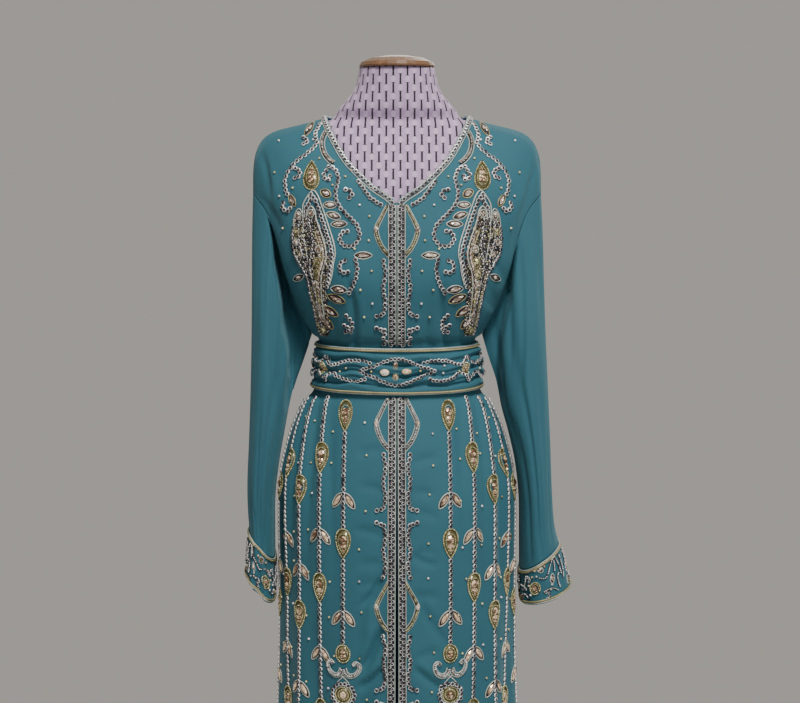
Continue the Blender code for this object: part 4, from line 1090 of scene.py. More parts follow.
# %% [markdown]
# ## A bead, a stone and a thread
#
# Thousands of beads can't each be an object, so we make one small shape and copy its points to every
# place with array arithmetic.  Each copy is turned to its own ground: `out` points away from the
# cloth and `along` down the thread it is strung on.  A whole run of trimming becomes one mesh.

# %% Shapes of one piece
RING_REACH = (0.77, 0.25)       # middle of a ring bead's body and half its thickness


def bead_shape(around, bands):
    """A round bead of radius one: its points, triangles and quads."""
    points = [(0.0, 0.0, 1.0)]
    for band in range(1, bands):
        tilt = math.pi * band / bands
        for step in range(around):
            turn = TURN * step / around
            points.append((math.sin(tilt) * math.cos(turn), math.sin(tilt) * math.sin(turn), math.cos(tilt)))
    points.append((0.0, 0.0, -1.0))
    last = len(points) - 1
    ring = last - around
    step = np.arange(around)
    ahead = (step + 1) % around
    triangles = np.concatenate([np.stack([np.zeros_like(step), 1 + step, 1 + ahead], axis=1),
                                np.stack([np.full_like(step, last), ring + ahead, ring + step], axis=1)])
    return np.array(points), triangles, 1 + grid_quads(bands - 1, around, ring=True)[0]


def ring_shape(around, sides):
    """A ring bead of outer radius one, with a wide eye."""
    turn, tilt = np.meshgrid(np.arange(around) * TURN / around, math.pi / 2 + np.arange(sides) * TURN / sides,
                             indexing="ij")
    reach = RING_REACH[0] + RING_REACH[1] * np.cos(tilt)
    points = np.stack([reach * np.cos(turn), reach * np.sin(turn), np.sin(tilt)], axis=2).reshape(-1, 3)
    return points, np.zeros((0, 3), dtype=int), grid_quads(around, sides, ring=True, closed=True)[0]


BEAD = bead_shape(8, 5)
SEED = bead_shape(5, 3)
RING = ring_shape(9, 3)


def outline_of(width, half_width, length, count):
    """An outline, anticlockwise from its point: its width at each turn is given by a function."""
    turn = np.linspace(0, TURN, count, endpoint=False)
    return np.stack([half_width * width(turn), length / 2 * np.cos(turn)], axis=1)


def teardrop(half_width, length, count):
    """Outline of a drop with its point up."""
    return outline_of(lambda turn: -np.sin(turn) * np.abs(np.sin(turn / 2)) ** 0.8 / 0.84,
                      half_width, length, count)


def leaf(half_width, length, count):
    """Outline of a leaf, pointed at both ends."""
    return outline_of(lambda turn: -np.sign(np.sin(turn)) * np.abs(np.sin(turn)) ** 1.5, half_width, length, count)


def oval(half_width, length, count):
    """Outline of an oval."""
    return outline_of(lambda turn: -np.sin(turn), half_width, length, count)


def turned(outline, degrees, flipped=False):
    """An outline turned anticlockwise, upside down first if it is flipped."""
    x, y = (outline * (-1.0 if flipped else 1.0)).T
    swing = math.radians(degrees)
    return np.stack([x * math.cos(swing) - y * math.sin(swing), x * math.sin(swing) + y * math.cos(swing)], axis=1)


print("points of a bead:", len(BEAD[0]), "of a seed bead:", len(SEED[0]), "and of a ring:", len(RING[0]))

# %% Gathering small pieces into one mesh
RANDOM = np.random.default_rng(11)
CUT = ((0.9, 0.0), (1.0, 0.4), (0.66, 0.8), (0.3, 1.0))     # scale and rise: girdle, crown and table
# tone shifts of single facets and how often each comes: painted glints and painted dark reflections
FACET_GLINTS = {"a": (-0.6, -0.45, -0.2, 0.45), "p": (0.3, 0.22, 0.2, 0.28)}
TAPE_FOOT = 0.15        # mm between a tape and the cloth


def tones_for(count, middle=0.55, spread=0.17):
    """A tone for each piece, none quite the same."""
    return np.clip(RANDOM.normal(middle, spread, count), 0.05, 0.98)


def tube_faces(count, sides, closed=False):
    """Faces of a tube of rings, with its two ends if it is open."""
    blocks = [grid_quads(count, sides, ring=True, closed=closed)[0]]
    if not closed:
        end = np.arange(sides)[None, :]
        blocks += [end, (count - 1) * sides + end[:, ::-1]]
    return blocks


class Trimming:
    """Beads, stones and threads that are sewn on as one piece."""

    def __init__(self):
        self.points = []
        self.faces = []
        self.kinds = []
        self.smooth = []
        self.tones = []
        self.count = 0

    def add(self, points, blocks, kind, tones, smooth=True):
        """Points with blocks of faces, each block with one number of corners."""
        for block in blocks:
            self.faces += (block + self.count).tolist()
            self.kinds.append(np.full(len(block), kind))
            self.smooth.append(np.full(len(block), smooth))
        self.points.append(points)
        self.tones.append(tones)
        self.count += len(points)

    def beads(self, places, out, along, half, kind, tones, shape=SEED, painted_side_light=0.0):
        """A bead at each place; half is its half size across, along and up.  One side of each bead can be painted
        lighter and the other darker: a painted highlight and painted shade.
        """
        shape, triangles, quads = shape
        across = unit(np.cross(along, out))
        along = unit(np.cross(out, across))
        points = places[:, None, :]
        for way, (direction, size) in enumerate(zip((across, along, out), half)):
            points = points + direction[:, None, :] * shape[None, :, way:way + 1] * size
        offset = (np.arange(len(places)) * len(shape))[:, None, None]
        blocks = [(faces[None] + offset).reshape(-1, faces.shape[1]) for faces in (triangles, quads)]
        # painted highlight on one side of each bead, painted shade on the other
        tones = tones[:, None] + painted_side_light * (0.75 * shape[None, :, 0] + 0.65 * shape[None, :, 1])
        self.add(points.reshape(-1, 3), blocks, kind, tones.ravel())

    def tube(self, path, out, radius, kind, closed=False, sides=5):
        """A thread or cord along a path."""
        along = heading(path, closed)
        across = unit(np.cross(along, out))
        up = np.cross(across, along)
        turn = (np.arange(sides) * TURN / sides)[None, :, None]
        rings = path[:, None, :] + (across[:, None, :] * np.cos(turn) + up[:, None, :] * np.sin(turn)) * radius
        self.add(rings.reshape(-1, 3), tube_faces(len(path), sides, closed), kind, np.full(len(path) * sides, 0.6))

    def stone(self, place, out, along, outline, height, kind, tone):
        """A cut stone on its outline: a girdle, a crown of flat facets and a table."""
        across = unit(np.cross(along, out))
        up = unit(np.cross(out, across))
        rings = np.array([place + across * outline[:, :1] * scale + up * outline[:, 1:] * scale
                          + out * height * rise for scale, rise in CUT])
        count = len(outline)
        corners = np.stack([rings[:-1], np.roll(rings[:-1], -1, axis=1), np.roll(rings[1:], -1, axis=1), rings[1:]],
                           axis=2).reshape(-1, 3)
        facets = np.arange(len(corners)).reshape(-1, 4)
        ends = len(corners) + np.arange(2 * count).reshape(2, count)
        # each facet gets its own tone: painted glints and painted dark reflections
        facet_glints = np.clip(tone + RANDOM.choice(size=len(facets) + 1, **FACET_GLINTS), 0.02, 1.0)
        self.add(np.concatenate([corners, rings[0, ::-1], rings[-1]]), [facets, ends[:1], ends[1:]], kind,
                 np.concatenate([np.repeat(facet_glints[:-1], 4), np.full(2 * count, facet_glints[-1])]), smooth=False)

    def strip(self, laid, rises, kind):
        """A flat tape from laid lines across it, with the rise of each line above the cloth."""
        low = [line + out * TAPE_FOOT for line, out in laid]
        high = [line + out * (TAPE_FOOT + rise) for (line, out), rise in zip(laid, rises)]
        ring = np.stack(low + high[::-1], axis=1)
        blocks = tube_faces(*ring.shape[:2])
        (line, out), (beside, _) = laid[:2]
        if np.dot(np.cross(line[1] - line[0], beside[0] - line[0]), out[0]) > 0:
            blocks = [block[:, ::-1] for block in blocks]
        self.add(ring.reshape(-1, 3), blocks, kind, np.full(ring.size // 3, 0.5))

    def on_side(self, side):
        """Points and faces on the wearer's left, or mirrored to the right."""
        if side == "left":
            return self.points, self.faces
        return [mirrored(points) for points in self.points], [face[::-1] for face in self.faces]

    def take_in(self, other, side):
        """Adds the pieces of another trimming on one side."""
        points, faces = other.on_side(side)
        self.points += points
        self.faces += [[corner + self.count for corner in face] for face in faces]
        self.kinds += other.kinds
        self.smooth += other.smooth
        self.tones += other.tones
        self.count += other.count

    def sewn(self, name, side, slot, *nodes):
        """The gathered pieces as one object, on the wearer's left or right."""
        points, faces = self.on_side(side)
        made = object_from(name, np.concatenate(points), faces, TRIMMINGS, np.concatenate(self.kinds),
                           np.concatenate(self.smooth))
        tone = made.data.attributes.new("tone", "FLOAT", "POINT")
        tone.data.foreach_set("value", np.concatenate(self.tones).astype(np.float32))
        print(name, "triangles:", sum(len(face) - 2 for face in faces))
        return put(made, slot, *nodes)


# %% [markdown]
# ## Finding a place on the cloth
#
# A bead is planned on flat paper and sewn to curved cloth, so we need to look places up.  On the
# chest a place is given as it is seen from the front, x and z.  On the skirt it is the distance
# along the cloth from the centre, and a height, so that the chains follow the threads into the
# gathers.  On the belt and the cuffs it is a distance round the ring and a height, both in mm.

# %% The ground that beads are sewn to
HUNT_ROUNDS = 6         # how often a guess at a place is improved
HUNT_STEP = 0.1         # rows or columns over which the slope of the cloth is taken


class Ground:
    """A grid of cloth and its normals, read at fractional rows and columns."""

    def __init__(self, grid, out, wrap=False):
        if wrap:
            grid, out = closed_up(grid), closed_up(out)
        self.grid = grid
        self.out = out
        self.rows, self.columns = grid.shape[:2]
        self.tree = kdtree.KDTree(self.rows * self.columns)
        for number, point in enumerate(grid.reshape(-1, 3)):
            self.tree.insert((point[0], 0.0, point[2]), number)
        self.tree.balance()

    def at(self, rows, columns):
        """Points and normals at fractional rows and columns."""
        rows = np.clip(rows, 0, self.rows - 1)
        columns = np.clip(columns, 0, self.columns - 1)
        row = np.minimum(rows.astype(int), self.rows - 2)
        col = np.minimum(columns.astype(int), self.columns - 2)
        down = (rows - row)[:, None]
        across = (columns - col)[:, None]
        found = []
        for field in (self.grid, self.out):
            upper = field[row, col] * (1 - across) + field[row, col + 1] * across
            lower = field[row + 1, col] * (1 - across) + field[row + 1, col + 1] * across
            found.append(upper * (1 - down) + lower * down)
        return found[0], unit(found[1])

    def seen_at(self, rows, columns):
        """Places in the grid as seen from the front."""
        return self.at(rows, columns)[0][:, ::2]

    def by_place(self, path):
        """Places given as seen from the front: x and z in mm."""
        near = np.array([self.tree.find((x, 0.0, z))[1] for x, z in path])
        rows = (near // self.columns).astype(float)
        columns = (near % self.columns).astype(float)
        for _ in range(HUNT_ROUNDS):
            miss = path - self.seen_at(rows, columns)
            low, high = np.maximum(rows - HUNT_STEP, 0), np.minimum(rows + HUNT_STEP, self.rows - 1)
            down = (self.seen_at(high, columns) - self.seen_at(low, columns)) / (high - low)[:, None]
            low, high = np.maximum(columns - HUNT_STEP, 0), np.minimum(columns + HUNT_STEP, self.columns - 1)
            aside = (self.seen_at(rows, high) - self.seen_at(rows, low)) / (high - low)[:, None]
            spread = down[:, 0] * aside[:, 1] - down[:, 1] * aside[:, 0]
            spread = np.where(np.abs(spread) < 1e-6, 1e-6, spread)
            rows = rows + np.clip((miss[:, 0] * aside[:, 1] - miss[:, 1] * aside[:, 0]) / spread, -1, 1)
            columns = columns + np.clip((down[:, 0] * miss[:, 1] - down[:, 1] * miss[:, 0]) / spread, -1, 1)
            rows = np.clip(rows, 0, self.rows - 1)
            columns = np.clip(columns, 0, self.columns - 1)
        return self.at(rows, columns)

    def by_cloth(self, path):
        """Places given by their distance along the cloth and their height, in mm."""
        columns = np.clip(path[:, 0] / HALF_CLOTH, 0, 1) ** (1 / CROWDING) * (self.columns - 1)
        col = np.minimum(columns.astype(int), self.columns - 2)
        rows = []
        for z, left, across in zip(path[:, 1], col, columns - col):
            heights = self.grid[ARM_ROW:, left, 2] * (1 - across) + self.grid[ARM_ROW:, left + 1, 2] * across
            rows.append(ARM_ROW + np.interp(-z, -heights, np.arange(len(heights))))
        return self.at(np.array(rows), columns)


GROUNDS = {side: Ground(*FRONTS[side]) for side in SIDES}
BACK_GROUNDS = {side: Ground(*BACKS[side]) for side in SIDES}
CUFF_GROUNDS = {side: Ground(*CUFFS[side], wrap=True) for side in SIDES}
BELT_GROUND = Ground(belt_outer, belt_out, wrap=True)
print("ground ready:", GROUNDS["left"].rows, "rows by", GROUNDS["left"].columns, "columns")

# %% Paths on paper
LINE_STEP = 1.2         # mm between two points of a smooth line
CURL_EYE = 0.45         # share of its radius at which a curl ends


def smooth_line(points):
    """A smooth path through a few points, in even steps."""
    fine = between(points, np.linspace(0, len(points) - 1, 40 * len(points)))
    length = run_of(fine)[-1]
    return spaced(fine, np.linspace(0, length, max(4, int(length / LINE_STEP))))


def curl(x, z, radius, start, sweep):
    """A spiral that winds in round its middle, from a start angle through a sweep in degrees."""
    share = np.linspace(0, 1, 14)
    angle = np.radians(start + sweep * share)
    reach = radius * (1 - (1 - CURL_EYE) * share)
    return np.stack([x + reach * np.cos(angle), z + reach * np.sin(angle)], axis=1)


def beside_of(path, hand=1):
    """Unit steps square to a path on paper, to its left or with hand -1 to its right."""
    along = heading(path)
    return hand * np.stack([-along[:, 1], along[:, 0]], axis=1)


def lifted(laid, rise):
    """A laid path moved off the cloth."""
    return laid[0] + laid[1] * rise, laid[1]


def evenly(laid, pitch):
    """Places, normals and headings at even steps along a laid path."""
    path, out = laid
    run = run_of(path)
    count = max(1, round(run[-1] / pitch))
    stations = (np.arange(count) + 0.5) * run[-1] / count
    ahead = spaced(path, np.minimum(stations + 0.6, run[-1]))
    behind = spaced(path, np.maximum(stations - 0.6, 0))
    return spaced(path, stations), unit(read_off(stations, run, out)), unit(ahead - behind)


def ring_of(layout, x, z, outline, step=None):
    """A closed outline laid on the cloth, in the outline's own points or in even steps."""
    path = outline + np.array((x, z))
    if step:
        closed = closed_up(path, axis=0)
        length = run_of(closed)[-1]
        count = round(length / step)
        path = spaced(closed, np.arange(count) * length / count)
    return layout(path)


# %% Laying chains, lines and bugle beads
BEAD_PITCH = 6.9
BEAD_HALF = (3.6, 3.6, 1.35)
EYE = (0.74, 0.8, 0.56, 0.85)       # dark bead in an eye, painted shade in the ring's hole: across, along, along by the pitch, up
FILL = {"dark": 4.6, "pitch": 3.3, "kinds": (SILVER, GOLD, GEM, DARK_AND_SHADE), "shares": (0.34, 0.26, 0.26, 0.14),
        "half": (1.2, 2.1, 1.2), "shake": 0.7, "row": 0.87}


def lay_chain(work, laid, pitch=BEAD_PITCH, half=BEAD_HALF, middle=0.66, sway=0.3, lean=0.2):
    """Ring beads that lean on each other along a path, with dark beads in their eyes: painted shade in each ring's
    hole.
    """
    places, out, along = evenly(laid, pitch)
    aside = np.cross(along, out) * (sway * (-1.0) ** np.arange(len(places)))[:, None]
    places = places + aside + out * half[2] * 1.2
    # each ring bead gets a painted highlight on one side and painted shade on the other
    work.beads(places, unit(out + along * lean), along, half, SILVER, tones_for(len(places), middle), RING, painted_side_light=0.6)
    eye = (half[0] * EYE[0], max(half[1] * EYE[1], pitch * EYE[2]), half[2] * EYE[3])
    # a dark bead in each ring's eye: painted shade
    work.beads(places - out * 0.15, out, along, eye, DARK_AND_SHADE, tones_for(len(places)))


def lay_line(work, laid, radius, kind, closed=False):
    """A thread couched on the cloth."""
    work.tube(laid[0] + laid[1] * radius * 0.8, laid[1], radius, kind, closed=closed, sides=4)


def lay_bugles(work, laid, pitch=2.1, half=(0.85, 3.0, 0.85), slant=55.0, kind=GOLD, middle=0.5):
    """Long beads laid side by side, slanted across a path."""
    places, out, along = evenly(laid, pitch)
    swing = math.radians(slant)
    slanted = along * math.cos(swing) + np.cross(along, out) * math.sin(swing)
    work.beads(places + out * half[2] * 0.9, out, slanted, half, kind, tones_for(len(places), middle, 0.25))


def inside_of(outline, places):
    """Which places lie inside an outline: a line to the right crosses it an odd number of times."""
    ahead = np.roll(outline, -1, axis=0)
    level = places[:, None, 1]
    crossed = (outline[None, :, 1] > level) != (ahead[None, :, 1] > level)
    rise = np.where(ahead[:, 1] == outline[:, 1], 1e-9, ahead[:, 1] - outline[:, 1])
    meets = outline[:, 0] + (level - outline[:, 1]) / rise * (ahead[:, 0] - outline[:, 0])
    return np.sum(crossed & (places[:, None, 0] < meets), axis=1) % 2 == 1


def lay_fill(work, layout, outline):
    """Fills an outline: a dark ground first, painted shade between the beads, then small beads of every kind, close
    together.
    """
    outline = np.array(outline)
    (left, low), (right, high) = outline.min(axis=0), outline.max(axis=0)
    for step, dark in ((FILL["dark"], True), (FILL["pitch"], False)):
        across, up = np.meshgrid(np.arange(left, right, step), np.arange(low, high, step * FILL["row"]))
        across[1::2] += step / 2
        places = np.stack([across.ravel(), up.ravel()], axis=1)
        if not dark:
            places = places + RANDOM.uniform(-FILL["shake"], FILL["shake"], places.shape)
        here, out = layout(places[inside_of(outline, places)])
        turn = RANDOM.uniform(0, math.pi, len(here))
        along = np.stack([np.cos(turn), np.zeros_like(turn), np.sin(turn)], axis=1)
        if dark:
            work.beads(here, out, along, (step * 0.66, step * 0.66, 0.8), DARK_AND_SHADE, tones_for(len(here)))
            continue
        choice = RANDOM.choice(FILL["kinds"], len(here), p=FILL["shares"])
        for kind in FILL["kinds"]:
            pick = choice == kind
            work.beads(here[pick] + out[pick] * 1.5, out[pick], along[pick], FILL["half"], kind,
                       tones_for(int(pick.sum()), 0.24, 0.26))


# %% Laying stones, leaves and jewels
PATCH = {"tone": 0.1, "rise": 0.7, "sunk": 0.2}
LEAF_STONE = (0.62, 0.7)        # width and length of its stone against a leaf's
JEWEL_STONES = ((-0.13, 0.5, 0.27, 0.45), (0.09, 0.42, 0.17, 0.75), (0.22, 0.2, 0.10, 0.5))
DOT_RADIUS = 1.9
SPARKLE = {"half": (1.0, 1.25, 1.1), "pitch": 2.7}


def lay_stone(work, layout, x, z, outline, height, kind=GEM, middle=0.6, lift=0.6):
    """A stone on the cloth at one place."""
    here, out = layout(np.array([[x, z], [x, z + 2.0]]))
    work.stone(here[0] + out[0] * lift, out[0], unit(here[1] - here[0]), outline, height, kind,
               tones_for(1, middle)[0])


def lay_patch(work, layout, x, z, outline, kind):
    """A thin dark ground under a motif, which follows the cloth: painted shade in the gaps between its beads."""
    places, out = layout(np.concatenate([outline, np.zeros((1, 2))]) + np.array((x, z)))
    count = len(outline)
    step = np.arange(count)
    ahead = (step + 1) % count
    top, foot = np.full(count, count), np.full(count, 2 * count + 1)
    fans = np.concatenate([np.stack([step, ahead, top], axis=1),
                           np.stack([ahead + count + 1, step + count + 1, foot], axis=1)])
    edge = np.stack([step, step + count + 1, ahead + count + 1, ahead], axis=1)
    work.add(np.concatenate([places + out * PATCH["rise"], places - out * PATCH["sunk"]]), [fans, edge], kind,
             np.full(2 * count + 2, PATCH["tone"]))


def lay_ring(work, layout, x, z, outline, pitch, half):
    """Small gold beads round an outline."""
    path, out = ring_of(layout, x, z, outline, pitch)
    work.beads(path + out * half[2] * 0.8, out, heading(path, closed=True), half, GOLD, tones_for(len(path)))


def lay_leaf(work, layout, x, z, half_width, length, degrees, line=PALE_LINE, stone=0.6, kind=GEM, edge=0.75):
    """A leaf: a couched outline round a dark ground, painted shade, and a cut stone in the middle."""
    outline = turned(leaf(half_width, length, 16), degrees)
    # dark ground inside the outline: painted shade
    lay_patch(work, layout, x, z, outline[::2] * 0.95, DARK_AND_SHADE)
    lay_line(work, ring_of(layout, x, z, outline), edge, line, closed=True)
    cut = turned(leaf(half_width * LEAF_STONE[0], length * LEAF_STONE[1], 10), degrees)
    lay_stone(work, layout, x, z, cut, 3.4, kind, middle=stone, lift=0.4)


def lay_jewel(work, layout, x, z, half_width, length, flipped=False, outline=teardrop):
    """A gold-set drop: rows of gold beads from the border inwards and three stones down the middle."""
    border = turned(outline(half_width, length, 48), 0, flipped)
    lay_patch(work, layout, x, z, border[::3] * 0.98, GOLD)
    lay_ring(work, layout, x, z, border, 2.8, (1.35, 1.5, 1.5))
    lay_ring(work, layout, x, z, border * 0.66, 2.6, (0.9, 1.3, 1.6))
    for up, wide, long, tone in JEWEL_STONES:
        lay_stone(work, layout, x, z + length * (-up if flipped else up), oval(half_width * wide, length * long, 8),
                  3.4, AMBER, middle=tone)


def lay_round_jewel(work, layout, x, z, radius, ground=GOLD):
    """A round gold-set stone."""
    lay_patch(work, layout, x, z, oval(radius, radius * 2, 16) * 0.97, ground)
    lay_ring(work, layout, x, z, oval(radius, radius * 2, 36), 2.5, (1.35, 1.4, 1.4))
    lay_ring(work, layout, x, z, oval(radius * 0.66, radius * 1.32, 30), 2.2, (1.0, 1.1, 0.9))
    lay_stone(work, layout, x, z, oval(radius * 0.42, radius * 0.95, 10), 3.6, AMBER, middle=0.7, lift=0.5)


def lay_sparkle(work, laid):
    """A row of small silver beads over a dark thread, which is also painted shade between them."""
    lay_line(work, laid, SPARKLE["half"][0] * 1.3, DARK_AND_SHADE)
    places, out, along = evenly(laid, SPARKLE["pitch"])
    work.beads(places + out * 2.2, out, along, SPARKLE["half"], SILVER, tones_for(len(places), 0.66, 0.3))


def lay_scatter(work, layout, places):
    """Single beads between the motifs, three gold ones to each silver one."""
    here, out = layout(np.array(places, dtype=float))
    along = np.broadcast_to((0.0, 0.0, 1.0), here.shape)
    number = np.arange(len(here))
    for kind, pick in ((GOLD, number % 4 > 0), (SILVER, number % 4 == 0)):
        work.beads(here[pick] + out[pick] * DOT_RADIUS * 0.8, out[pick], along[pick],
                   (DOT_RADIUS, DOT_RADIUS, DOT_RADIUS * 0.85), kind, tones_for(len(here[pick]), 0.65), BEAD)


print("a ring bead every", BEAD_PITCH, "mm, and scattered beads", 2 * DOT_RADIUS, "mm wide")

# %% [markdown]
# ## Gold cords
#
# The edges of the belt and the cuffs carry a twisted gold cord with a thinner silver one beside it.
# A twisted cord is two strands that wind round one line, so each strand is a tube whose path circles
# the cord's own path.

# %% Twisted cords
TWIST_LENGTH = 8.0      # mm of cord for a whole turn of its strands
TWIST_STEPS = 6
EDGE_CORDS = ((1.7, 1.12, PALE_LINE), (4.3, 1.6, GOLD_LINE))    # mm from the edge, radius, look
CORD_LIFT = 0.75        # of its radius, off the cloth


def twisted_cord(work, path, out, radius, kind):
    """Two strands wound round a closed path."""
    ring = closed_up(path, axis=0)
    run = run_of(ring)
    count = round(run[-1] / TWIST_LENGTH) * TWIST_STEPS
    stations = np.arange(count) * run[-1] / count
    line = spaced(ring, stations)
    facing = unit(read_off(stations, run, closed_up(out, axis=0)))
    aside = unit(np.cross(heading(line, closed=True), facing))
    for strand in (0.0, math.pi):
        angle = (np.arange(count) * TURN / TWIST_STEPS + strand)[:, None]
        swing = aside * np.cos(angle) + facing * np.sin(angle)
        work.tube(line + swing * radius * 0.5, facing, radius * 0.56, kind, closed=True)


def edge_cords(name, grid, out, side, nodes):
    """The two cords along each edge of a ring of cloth."""
    for (end, row, step), node in zip((("top", 0, 3), ("foot", -1, -4)), nodes):
        work = Trimming()
        drop = unit(grid[step] - grid[row])
        for place, radius, kind in EDGE_CORDS:
            twisted_cord(work, grid[row] + drop * place + out[row] * radius * CORD_LIFT, out[row], radius, kind)
        work.sewn(f"{name}_{end}", side, "gold_cord", node)


edge_cords("belt_gold", belt_outer, belt_out, "left", ("belt_cord_top", "belt_cord_foot"))
for side in SIDES:
    edge_cords(f"cuff_gold_{side}", *CUFFS[side], side, [f"cuff_cord_{end}_{side}" for end in ("top", "foot")])

# %% [markdown]
# ## Bands round the neck and down the fronts
#
# A narrow tape covers each edge.  On it runs a chain of ring beads between two pale couched lines.
# The neck band follows the neckline at an even distance, so we step from the edge into the cloth,
# square to the edge, and look up the cloth under that point.

# %% The neck band
NECK_BAND = {"start": 0.6, "width": 9.5, "rise": 1.0, "pitch": 6.6, "half": (3.5, 3.4, 1.2)}


def neck_line(ground, distance):
    """Places at an even distance inside the neckline, from the shoulder to its end."""
    edge = ground.grid[:NECK_ROW + 1, 0]
    inward = unit(np.cross(ground.out[:NECK_ROW + 1, 0], heading(edge)))
    if np.mean(np.sum(inward * (ground.grid[:NECK_ROW + 1, 4] - edge), axis=1)) < 0:
        inward = -inward
    path = edge + inward * distance
    path = path[path[:, 0] > -0.01][:, ::2]
    return ground.by_place(spaced(path, np.linspace(0, run_of(path)[-1], 150)))


def tape(work, laid, rise, kind):
    """A tape on three laid lines, thinner towards its edges."""
    work.strip(laid, (rise * 0.5, rise, rise * 0.5), kind)


def neck_band(work, ground):
    """Tape, two pale lines and a chain of beads along a neckline."""
    start, width, rise = NECK_BAND["start"], NECK_BAND["width"], NECK_BAND["rise"]
    middle, end = start + width / 2, start + width
    tape(work, [neck_line(ground, offset) for offset in (start, middle, end)], rise, GROUND)
    for offset, radius in ((start + 0.5, 0.5), (end - 0.7, 0.75)):
        lay_line(work, lifted(neck_line(ground, offset), rise * 0.5), radius, PALE_LINE)
    lay_chain(work, lifted(neck_line(ground, middle - 0.3), rise), NECK_BAND["pitch"], NECK_BAND["half"])


for side in SIDES:
    work = Trimming()
    neck_band(work, GROUNDS[side])
    work.sewn(f"neck_border_{side}", side, "silver_beadwork", f"neck_band_{side}")

work = Trimming()
for side in SIDES:
    half = Trimming()
    neck_band(half, BACK_GROUNDS[side])
    work.take_in(half, side)
work.sewn("neck_border_back", "left", "silver_beadwork", "neck_band_back")

# %% [markdown]
# ## The front edges
#
# Each front edge has the same band, and beside it runs a second chain that breaks into two small
# hooks, halfway on the skirt and lower down on the bodice.  Every quarter of a metre a tall pointed
# frame stands against the band: bugle beads laid slantwise between two pale lines, gold and silver in
# turn, with a stone at its tip.

# %% Front bands, frames and side chains
FRONT_BAND = {"start": 0.8, "width": 11.6, "rise": 1.0, "dark": (0.12, 0.5, 0.86), "pitch": 4.6,
              "half": (2.9, 2.8, 1.2), "sway": 1.9}
FRAMES = {"kinds": {1271: GOLD, 990: SILVER, 727: GOLD, 464: SILVER, 203: GOLD}, "half": 39.0, "reach": 33.0,
          "foot": 13.0, "width": 6.2, "bugle": (0.85, 2.7, 2.4)}
FRAME_SHAPE = (
    # out and up, as shares of a frame's reach and half height
    (0, 1), (0.28, 0.74), (0.6, 0.44), (0.88, 0.17), (1, 0), (0.93, -0.2), (0.75, -0.46), (0.45, -0.74),
    (0, -1),
)
FRONT_STRETCHES = {"upper": (1306.0, 1101.5), "lower": (1026.0, 22.0)}
SIDE_CHAIN = {"near": 18.0, "swing": 1.6, "gap": 7.5, "hook": 31.0, "broken": {"upper": 0.72, "lower": 0.5},
              "least": 30.0}


def front_line(ground, offset, top, foot):
    """A line down the front at an even distance from the edge."""
    heights = np.linspace(top, foot, max(8, int((top - foot) / 4)))
    edge = np.interp(-heights, -ground.grid[NECK_ROW:, 0, 2], ground.grid[NECK_ROW:, 0, 0])
    return ground.by_place(np.stack([edge + offset, heights], axis=1))


def pointed_frame(work, ground, z, kind, top, foot):
    """A frame: pale line, slanted bugle beads, pale line, and a stone at the tip."""
    sides = []
    for inset in (0.0, FRAMES["width"], FRAMES["width"] / 2):
        reach, half = FRAMES["reach"] - inset - FRAMES["foot"], FRAMES["half"] - inset * 1.4
        corners = np.array([(FRAMES["foot"] + reach * out, z + half * up) for out, up in FRAME_SHAPE])
        path = spaced(corners, np.linspace(0, run_of(corners)[-1], 70))
        sides.append(ground.by_place(path[(path[:, 1] < top) & (path[:, 1] > foot)]))
    # the last line, dark and wide, lies under the bugles: painted shade between them
    for laid, radius, line in zip(sides, (0.75, 0.75, 1.9), (PALE_LINE, PALE_LINE, DARK_AND_SHADE)):
        lay_line(work, laid, radius, line)
    lay_bugles(work, sides[-1], pitch=2.5, half=FRAMES["bugle"], kind=kind)
    if z < top - 4:
        lay_stone(work, ground.by_place, FRAMES["reach"] - 3.4, z, leaf(3.6, 11.0, 8), 4.6, middle=0.75, lift=1.2)


def side_chain(work, ground, top, foot, broken):
    """The chain beside the band, with a pair of hooks where it breaks, at a share of its length."""
    middle = top + (foot - top) * broken
    cuts = [top, middle + SIDE_CHAIN["gap"], middle - SIDE_CHAIN["gap"], foot]
    share = np.linspace(0, 1, 50)
    offset = SIDE_CHAIN["near"] + SIDE_CHAIN["swing"] * np.cos(TURN * 2 * share)
    hook = [(offset[0], 0.0), (offset[0] + 4.0, 4.5), (offset[0] + 9.0, 6.0), (SIDE_CHAIN["hook"], 3.0)]
    for number, (high, low) in enumerate(zip(cuts[::2], cuts[1::2])):
        path = np.stack([offset, high + (low - high) * share], axis=1)
        if number:
            path = np.concatenate([smooth_line([(x, high - 7.0 + lift) for x, lift in hook[::-1]]), path[3:]])
        else:
            path = np.concatenate([path[:-3], smooth_line([(x, low + 7.0 - lift) for x, lift in hook])])
        lay_chain(work, ground.by_place(path))


